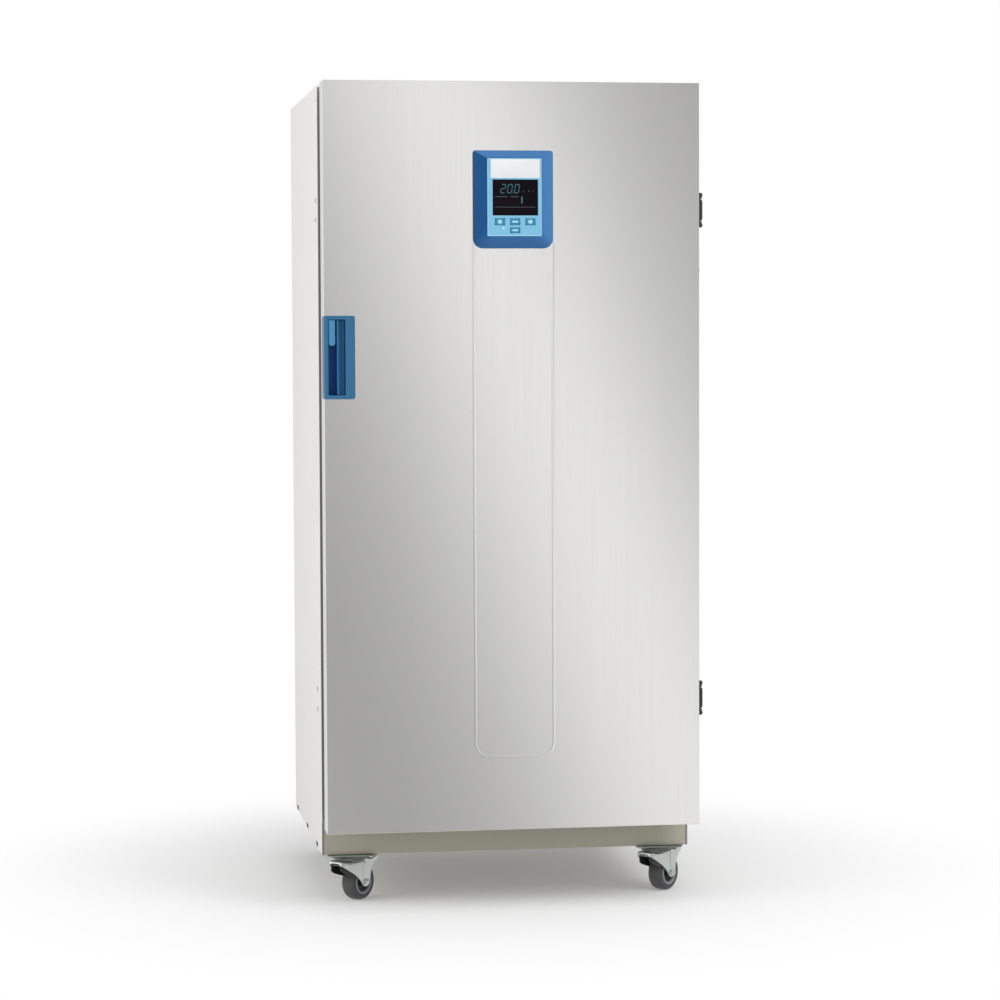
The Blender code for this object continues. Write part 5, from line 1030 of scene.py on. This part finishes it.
class HandleOperator(bpy.types.Operator):
    """Makes the handle: a flanged housing round a deep finger recess, its tab, and the scooped grip."""

    bl_idname = "incubator.handle"
    bl_label = "Handle"

    def execute(self, context):
        self.housing()
        self.tab()
        self.grip()
        return {"FINISHED"}

    def housing(self):
        """Rings from the recess floor, up its walls, over the rim to the flange on the door, and round the back."""
        flange = scene_sizes().handle_flange
        back, front = float(HANDLE_HIGH[1]), float(HANDLE_LOW[1])
        left, right = float(HANDLE_LOW[0]), float(HANDLE_HIGH[0])
        bottom, top = float(HANDLE_LOW[2]), float(HANDLE_HIGH[2])

        def ring(x0, x1, z0, z1, y, radii):
            flat = rounded_outline(x1 - x0, z1 - z0, radii, 6) + ((x0 + x1) / 2, (z0 + z1) / 2)
            return np.stack([flat[:, 0], np.full(len(flat), y), flat[:, 1]], axis=-1)

        wide = (left + 0.0003, right + flange, bottom - flange, top + flange)
        snug = (left + 0.0002, right - 0.0002, bottom + 0.0002, top - 0.0002)
        mouth = (left + 0.0085, right - 0.0178, bottom + 0.0062, top - 0.0062)
        deep = (left + 0.0085, right - 0.0135, bottom + 0.0062, top - 0.0062)
        rows = [ring(*deep, back - 0.007, [0.0020] * 4), ring(*deep, front + 0.0076, [0.0020] * 4)]
        rows.append(ring(*deep, front + 0.0072, [0.0020] * 4))
        rows.append(ring(*mouth, front + 0.0022, [0.0022] * 4))
        for step in np.linspace(0, np.pi / 2, 5):
            grow = 0.0014 * (1 - np.cos(step))
            grown = (mouth[0] - grow, mouth[1] + grow, mouth[2] - grow, mouth[3] + grow)
            rows.append(ring(*grown, front + 0.0014 * (1 - np.sin(step)) - 0.0002, [0.0026] * 4))
        outer_radii = np.array((0.0018, 0.0055, 0.0042, 0.0018))
        for step in np.linspace(0, np.pi / 2, 5):
            shrink = 0.0012 * (1 - np.sin(step))
            shrunk = (wide[0] + shrink, wide[1] - shrink, wide[2] + shrink, wide[3] - shrink)
            rows.append(ring(*shrunk, front + 0.0012 * (1 - np.cos(step)), (outer_radii - shrink * 0.5).tolist()))
        rows.append(ring(*wide, DOOR_FACE - 0.0001, outer_radii.tolist()))
        rows.append(ring(*snug, DOOR_FACE - 0.0001, [0.0010] * 4))
        rows.append(ring(*snug, back, [0.0010] * 4))
        mesh = surface("flanged_housing", [np.stack(rows)])
        stand_for(link("flanged_housing", mesh, "grip", 32), "handle_housing")

    def tab(self):
        """The raised pad above the finger recess, with round lower corners and a rolled front edge."""
        back, front = float(HANDLE_HIGH[1]) - 0.0072, float(HANDLE_LOW[1]) + 0.0012
        left, right = float(HANDLE_LOW[0]) + 0.0087, float(HANDLE_LOW[0]) + 0.0226
        bottom, top = float(HANDLE_LOW[2]) + 0.1035, float(HANDLE_HIGH[2]) - 0.0064
        # The tab's lighter blue finish is a painted highlight.
        pad = pressed_plate(
            "thumb_tab", ((left + right) / 2, back, (bottom + top) / 2), (right - left, top - bottom),
            (0.0056, 0.0056, 0.0012, 0.0012), rolled_edge(back - front, 0.0030, 6), (0, -1, 0), "tab", 8,
        )
        on_body(pad, "door")

    def grip(self):
        """A closed cross-section, its corners cut twice over, carried straight up Z between rounded ends."""
        pivot = next(joint["pos_m"] for joint in frame["joints"] if joint["name"] == "handle_pull")
        section = np.array([
            (-0.0175, -0.0098), (-0.0168, -0.0114), (-0.0152, -0.0114), (-0.0140, -0.0100), (-0.0128, -0.0074),
            (-0.0108, -0.0052), (-0.0082, -0.0041), (-0.0056, -0.0041), (-0.0034, -0.0050), (-0.0010, -0.0050),
            (0.0014, -0.0034), (0.0033, -0.0010), (0.0033, 0.0014), (0.0012, 0.0033), (-0.0016, 0.0033),
            (-0.0040, 0.0012), (-0.0080, 0.0002), (-0.0112, -0.0012), (-0.0138, -0.0040), (-0.0158, -0.0070),
        ])
        for _ in range(2):
            following = np.roll(section, -1, axis=0)
            halves = [0.75 * section + 0.25 * following, 0.25 * section + 0.75 * following]
            section = np.stack(halves, 1).reshape(-1, 2)
        low_end, high_end = float(HANDLE_LOW[2]) + 0.0072, float(HANDLE_HIGH[2]) - 0.0072
        middle = section.mean(axis=0)
        rows = []
        for height, share in (
            (low_end, 0.90), (low_end + 0.0006, 0.97), (low_end + 0.0016, 1.0),
            (high_end - 0.0016, 1.0), (high_end - 0.0006, 0.97), (high_end, 0.90),
        ):
            flat = middle + share * (section - middle) + np.array(pivot[:2])
            rows.append(np.column_stack([flat, np.full(len(flat), height)]))
        pin = turned_grid(
            [(0.0016, 0.0), (0.0016, high_end - low_end + 0.0060)], (*pivot[:2], low_end - 0.0030), (0, 0, 1), 16
        )
        mesh = surface("scooped_grip", [np.stack(rows), pin])
        stand_for(link("scooped_grip", mesh, "grip", 40), "handle_paddle")


class HingesOperator(bpy.types.Operator):
    """Dresses the side hinges and adds their screws."""

    bl_idname = "incubator.hinges"
    bl_label = "Side hinges"

    def execute(self, context):
        strap_screws, leaf_screws = [], []
        for level in ("upper", "lower"):
            softened(f"{level}_hinge_bracket", "black", 0.0009, 3)
            softened(f"{level}_door_hinge_leaf", "black", 0.0007, 2)
            middle = float((low(f"{level}_door_hinge_leaf") + high(f"{level}_door_hinge_leaf"))[2] / 2)
            strap_screws += [(0.3817, -0.217, middle + z) for z in (-0.0195, 0.0195)]
            leaf_screws += [(0.3808, -0.347, middle + z) for z in (-0.012, 0.012)]
        heads = screws("bracket_screws", strap_screws, (1, 0, 0), "black", 0.0045, 0.0022)
        on_body(heads, "cabinet")
        heads = screws("leaf_screws", leaf_screws, (1, 0, 0), "black", 0.0038, 0.0018)
        on_body(heads, "door")
        self.knuckle_caps()
        return {"FINISHED"}

    def knuckle_caps(self):
        """Rounded caps at both ends of each hinge pin and a barrel between them: r(u) = R * (1 - |u|^p / 3)."""
        pin = next(joint["pos_m"] for joint in frame["joints"] if joint["name"] == "door_hinge")
        share = np.linspace(-1, 1, 15)
        caps, barrels = [], []
        for level in ("upper", "lower"):
            bottom, top = float(low(f"{level}_hinge_bracket")[2]), float(high(f"{level}_hinge_bracket")[2])
            cap, gap = 0.0088, 0.0125
            for grids, start, length, widest, power in (
                (caps, bottom - 0.0004, cap, 0.0090, 3),
                (caps, top + 0.0004 - cap, cap, 0.0090, 3),
                (barrels, bottom + gap, top - bottom - 2 * gap, 0.0088, 14),
            ):
                radius = widest * (1 - np.abs(share) ** power / 3)
                profile = list(zip(radius.tolist(), ((share + 1) / 2 * length).tolist()))
                grids.append(turned_grid(profile, (pin[0] + 0.0004, pin[1], start), (0, 0, 1), 28))
        add_piece("knuckle_caps", caps, "black", "cabinet")
        add_piece("hinge_barrels", barrels, "black", "door")


class CastersOperator(bpy.types.Operator):
    """Makes the casters: top plate and raceway, hooded fork, wheel guard, wheel and brake pedal."""

    bl_idname = "incubator.casters"
    bl_label = "Casters"

    def execute(self, context):
        joints = {joint["name"]: joint for joint in frame["joints"]}
        for caster in CASTERS:
            swivel, roll = joints[f"{caster}_swivel"], joints[f"{caster}_roll"]
            self.centre = np.array((swivel["pos_m"][0], swivel["pos_m"][1], 0.0))
            self.axle = np.array(roll["axis"], float)
            self.axle /= np.linalg.norm(self.axle)
            self.trail = np.array((self.axle[1], -self.axle[0], 0.0))
            self.hub = np.array(roll["pos_m"])
            self.mount(caster)
            self.fork(caster)
            self.guard(caster)
            self.wheel(caster, roll)
            if caster.startswith("front"):
                self.pedal(caster)
        return {"FINISHED"}

    def spot(self, along, across, height):
        """A point in the caster's own frame: along its trail, across on its axle, and up."""
        along, across, height = np.broadcast_arrays(along, across, height)
        up = np.array((0.0, 0.0, 1.0))
        return self.centre + along[..., None] * self.trail + across[..., None] * self.axle + height[..., None] * up

    def mount(self, caster):
        """A rounded top plate with four bolt heads, over a turned ball race."""
        top = float(high(f"{caster}_caster_mount")[2])
        place = (self.centre[0], self.centre[1], top)
        plate_profile = [(0.0, 0.0), (0.0, 0.0026), (0.0006, 0.0032)]
        plate = plate_rings(place, (0.096, 0.082), [0.010] * 4, plate_profile, (0, 0, -1))
        race = [(0.030, 0.0028), (0.0325, 0.0040), (0.0335, 0.0066), (0.0320, 0.0084), (0.0300, 0.0090),
                (0.0300, 0.0104), (0.0318, 0.0112), (0.0322, 0.0128), (0.0305, 0.0140)]
        grids = [plate, turned_grid(race, place, (0, 0, -1), 40)]
        pin_top = float(low(f"{caster}_caster_mount")[2])
        grids.append(turned_grid([(0.005, 0.0), (0.005, 0.0150)], (place[0], place[1], pin_top), (0, 0, 1), 16))
        grids.append(turned_grid([(0.009, 0.0), (0.009, 0.003)], (place[0], place[1], pin_top), (0, 0, 1), 6))
        # The top plate's darker finish is a painted shade.
        piece = link(f"{caster}_top_plate", surface(f"{caster}_top_plate", grids), "raceway")
        stand_for(piece, f"{caster}_caster_mount")
        bolts = [(place[0] + x, place[1] + y, top - 0.0031) for x in (-0.040, 0.040) for y in (-0.033, 0.033)]
        heads = screws(f"{caster}_plate_bolts", bolts, (0, 0, -1), "zinc", 0.0055, 0.0032)
        on_body(heads, "cabinet")

    def fork(self, caster):
        """The hood is an upside-down U at each station: half width w(t), crown h(t), lower edge b(t), wall 2.8 mm."""
        t = np.array((-0.0478, -0.0470, -0.0445, -0.040, -0.034, -0.027, -0.018, -0.008, 0.002, 0.011, 0.018, 0.0224))
        nose = np.clip((t + 0.026) / -0.022, 0, 1)
        half = 0.0140 + 0.0075 * np.sqrt(1 - nose ** 2.2 * 0.999)
        crown = 0.0863 + 0.0046 * nose * (1 - nose ** 6)
        knots = (-0.048, -0.040, -0.028, -0.012, 0.002, 0.012, 0.0185, 0.0224)
        lower = np.interp(t, knots, (0.0800, 0.0745, 0.0675, 0.0590, 0.0490, 0.0390, 0.0305, 0.0286))
        wall, radius = 0.0028, 0.0075
        angle = np.linspace(0, np.pi / 2, 6)
        rows = []
        for place, wide, high_edge, low_edge in zip(t, half, crown, lower):
            loops = []
            for inset in (0.0, wall):
                w, h, r = wide - inset, high_edge - inset, radius - inset * 0.8
                corner = np.stack([w - r + r * np.cos(angle), h - r + r * np.sin(angle)], axis=-1)
                right = np.concatenate([[(w, low_edge)], corner])
                loops.append(np.concatenate([right, right[::-1] * (-1, 1)]))
            loop = np.concatenate([loops[0], loops[1][::-1]])
            rows.append(self.spot(place, loop[:, 0], loop[:, 1]))
        grids = [np.stack(rows)]
        t = np.linspace(0.0222, 0.0534, 13)
        top = np.interp(
            t, (0.0222, 0.030, 0.040, 0.0484, 0.0520, 0.0534), (0.0858, 0.0850, 0.0825, 0.0796, 0.0778, 0.0756)
        )
        base = np.interp(
            t, (0.0222, 0.027, 0.032, 0.036, 0.039, 0.043, 0.048, 0.0534),
            (0.0288, 0.0285, 0.0296, 0.0325, 0.0400, 0.0560, 0.0680, 0.0736),
        )
        for side in (-1, 1):
            outer, inner = side * 0.0214, side * 0.0188
            across = np.array((outer, outer, inner, inner))
            rows = [self.spot(a, across, np.array((b, c, c, b))) for a, b, c in zip(t, base, top)]
            grids.append(np.stack(rows))
            grids.append(plate_rings(
                self.spot(0.0225, outer, 0.0640), (0.0085, 0.0330), [0.0040] * 4,
                [(0.0, -0.0006), (0.0012, 0.0010), (0.0022, 0.0014)], side * self.axle,
            ))
            nut = [(0.0072, -0.001), (0.0072, 0.0034), (0.0058, 0.0042)]
            grids.append(turned_grid(nut, self.hub + outer * self.axle, side * self.axle, 6))
            stud = [(0.0034, -0.001), (0.0034, 0.0058), (0.0026, 0.0066)]
            grids.append(turned_grid(stud, self.hub + outer * self.axle, side * self.axle, 18))
        grids.append(turned_grid([(0.004, 0.0), (0.004, 0.0400)], self.hub - 0.0200 * self.axle, self.axle, 18))
        if caster.startswith("front"):
            rod_end = self.spot(0.0484, -0.0210, 0.0746)
            grids.append(turned_grid([(0.0016, 0.0), (0.0016, 0.0420)], rod_end, self.axle, 14))
        mesh = surface(f"{caster}_hooded_fork", grids)
        stand_for(link(f"{caster}_hooded_fork", mesh, "zinc", 38), f"{caster}_caster_fork")

    def guard(self, caster):
        """A black shell inside the hood that hangs below its edge: half width w(t), lower edge b(t), wall 1.2 mm."""
        t = np.array((-0.0455, -0.0445, -0.0415, -0.037, -0.031, -0.024, -0.016, -0.008, 0.0))
        nose = np.clip((t + 0.024) / -0.022, 0, 1)
        half = 0.0105 + 0.0078 * np.sqrt(1 - nose ** 2.2 * 0.999)
        lower = np.interp(
            t, (-0.046, -0.041, -0.033, -0.020, -0.008, 0.0), (0.0700, 0.0655, 0.0610, 0.0560, 0.0525, 0.0500)
        )
        rows = []
        for place, wide, low_edge in zip(t, half, lower):
            loop = np.array([
                (wide, low_edge), (wide, 0.078), (wide - 0.003, 0.081), (-wide + 0.003, 0.081), (-wide, 0.078),
                (-wide, low_edge), (-wide + 0.0012, low_edge), (-wide + 0.0012, 0.0775), (-wide + 0.0036, 0.0798),
                (wide - 0.0036, 0.0798), (wide - 0.0012, 0.0775), (wide - 0.0012, low_edge),
            ])
            rows.append(self.spot(place, loop[:, 0], loop[:, 1]))
        piece = link(f"{caster}_wheel_guard", surface(f"{caster}_wheel_guard", [np.stack(rows)]), "black", 30)
        on_body(piece, f"{caster}_fork")

    def wheel(self, caster, joint):
        """Closed sections turned about the axle: crowned tread, pale rim ring, and dark dish with its bore."""
        centre, axle = joint["pos_m"], joint["axis"]
        steps = scene_sizes().wheel_steps
        crown = [(0.0375 - 0.0014 * (u / 0.72) ** 4, u * 0.016) for u in np.linspace(0.72, -0.72, 11)]
        side = [(0.0262, 0.0148), (0.0280, 0.0156), (0.0310, 0.0158), (0.0335, 0.0152), (0.0352, 0.0136)]
        section = side + crown + [(r, -h) for r, h in reversed(side)] + [(0.0255, -0.0120), (0.0255, 0.0120)]
        tread = turned(f"{caster}_tread", section, centre, axle, steps, "tyre", loop=True)
        stand_for(tread, f"{caster}_caster_wheel")
        for side_name, sign in (("near", -1), ("far", 1)):
            ring = [(0.0205, 0.0100), (0.0210, 0.0148), (0.0222, 0.0158), (0.0246, 0.0160), (0.0260, 0.0154),
                    (0.0254, 0.0118), (0.0240, 0.0096)]
            rim = turned(
                f"{caster}_rim_{side_name}", [(r, sign * h) for r, h in ring], centre, axle, 56, "core", loop=True
            )
            on_body(rim, f"{caster}_wheel")
        dish = [(0.0045, 0.0158), (0.0088, 0.0158), (0.0098, 0.0148), (0.0106, 0.0092), (0.0125, 0.0080),
                (0.0200, 0.0080), (0.0238, 0.0092)]
        dish += [(r, -h) for r, h in reversed(dish)]
        hub = turned(f"{caster}_dish", dish, centre, axle, 48, "dish", loop=True)
        on_body(hub, f"{caster}_wheel")

    def pedal(self, caster):
        """A wedge whose depth falls from pivot to tip, with rolled edges, and the brake shoe over the tyre."""
        t = np.array((0.0455, 0.0470, 0.0560, 0.0660, 0.0760, 0.0800, 0.0815))
        top = np.array((0.0770, 0.0786, 0.0812, 0.0836, 0.0856, 0.0856, 0.0846))
        base = np.array((0.0724, 0.0708, 0.0692, 0.0716, 0.0764, 0.0800, 0.0826))
        half = np.array((0.0134, 0.0140, 0.0140, 0.0138, 0.0128, 0.0110, 0.0088))
        r = 0.0012
        rows = []
        for a, b, c, w in zip(t, base, top, half):
            across = np.array((-w, -w + r, w - r, w, w, w - r, -w + r, -w))
            height = np.array((c - r, c, c, c - r, b + r, b, b, b + r))
            rows.append(self.spot(a, across, np.maximum(height, b)))
        shoe_low, shoe_high = self.spot(0.0461, 0.0, 0.0708), self.spot(0.0484, 0.0, 0.0746)
        direction = shoe_low - shoe_high
        shoe = plate_rings(shoe_high, (0.020, 0.0024), [0.0003] * 4, [(0.0, 0.0), (0.0, 0.0047)], direction, 2)
        mesh = surface(f"{caster}_toe_pedal", [np.stack(rows), shoe])
        stand_for(link(f"{caster}_toe_pedal", mesh, "zinc", 30), f"{caster}_brake_pedal")


class ChamberOperator(bpy.types.Operator):
    """Dresses the chamber's liner, racks, shelves, duct, fan and glass door."""

    bl_idname = "incubator.chamber"
    bl_label = "Chamber"

    def execute(self, context):
        paint("stainless", "chamber_liner", "left_shelf_rack", "right_shelf_rack", "lower_shelf")
        paint("stainless", "upper_shelf", "air_duct_panel")
        softened("glass_pane", "glass", 0.0008)
        paint("aluminium", "glass_hinge_post", "evaporator", "chamber_fan_motor")
        paint("bare steel", "heater", "temperature_probe")
        softened("chamber_fan", "black", 0.0004)
        self.knob()
        return {"FINISHED"}

    def knob(self):
        """A turned grip: the radius narrows to a waist and swells to a rounded head."""
        box_low, box_high = low("glass_knob"), high("glass_knob")
        centre = (box_low + box_high) / 2
        length = float(box_high[1] - box_low[1])
        t = np.linspace(0, 1, 16)
        radius = 0.0068 + 0.0032 * np.sin(np.pi * np.clip(t * 1.25 - 0.35, 0, 1)) ** 2
        waist = zip(radius.tolist(), (t * length * 0.94).tolist())
        profile = [(0.0068, 0.0), *waist, (0.004, length), (0.00001, length)]
        piece = turned("turned_knob", profile, (centre[0], box_high[1], centre[2]), (0, -1, 0), 32, "black")
        stand_for(piece, "glass_knob")


class MachineryOperator(bpy.types.Operator):
    """Dresses the compressor, the condenser and its fan."""

    bl_idname = "incubator.machinery"
    bl_label = "Machine compartment"

    def execute(self, context):
        paint("enamel", "compressor")
        paint("aluminium", "condenser")
        softened("condenser_fan", "black", 0.0004)
        return {"FINISHED"}


class IncubatorPanel(bpy.types.Panel):
    """Lists the pieces of the incubator in the sidebar."""

    bl_idname = "VIEW3D_PT_incubator"
    bl_label = "Incubator"
    bl_space_type = "VIEW_3D"
    bl_region_type = "UI"
    bl_category = "Incubator"

    def draw(self, context):
        layout = self.layout
        for group in (context.scene.incubator_sizes, context.scene.incubator_looks):
            for name in group.__annotations__:
                layout.prop(group, name)
        for step in STEPS:
            layout.operator(step.bl_idname)


STEPS = (
    StageOperator,
    CabinetOperator,
    DoorOperator,
    PanelOperator,
    HandleOperator,
    HingesOperator,
    CastersOperator,
    ChamberOperator,
    MachineryOperator,
)
CLASSES = (IncubatorSizes, IncubatorLooks, *STEPS, IncubatorPanel)


def register():
    for item in CLASSES:
        bpy.utils.register_class(item)
    bpy.types.Scene.incubator_sizes = PointerProperty(type=IncubatorSizes)
    bpy.types.Scene.incubator_looks = PointerProperty(type=IncubatorLooks)


def unregister():
    del bpy.types.Scene.incubator_looks
    del bpy.types.Scene.incubator_sizes
    for item in reversed(CLASSES):
        bpy.utils.unregister_class(item)


def main():
    register()
    bpy.ops.incubator.stage()
    bpy.ops.incubator.cabinet()
    bpy.ops.incubator.door()
    bpy.ops.incubator.control_panel()
    bpy.ops.incubator.handle()
    bpy.ops.incubator.hinges()
    bpy.ops.incubator.casters()
    bpy.ops.incubator.chamber()
    bpy.ops.incubator.machinery()


if __name__ == "__main__":
    main()
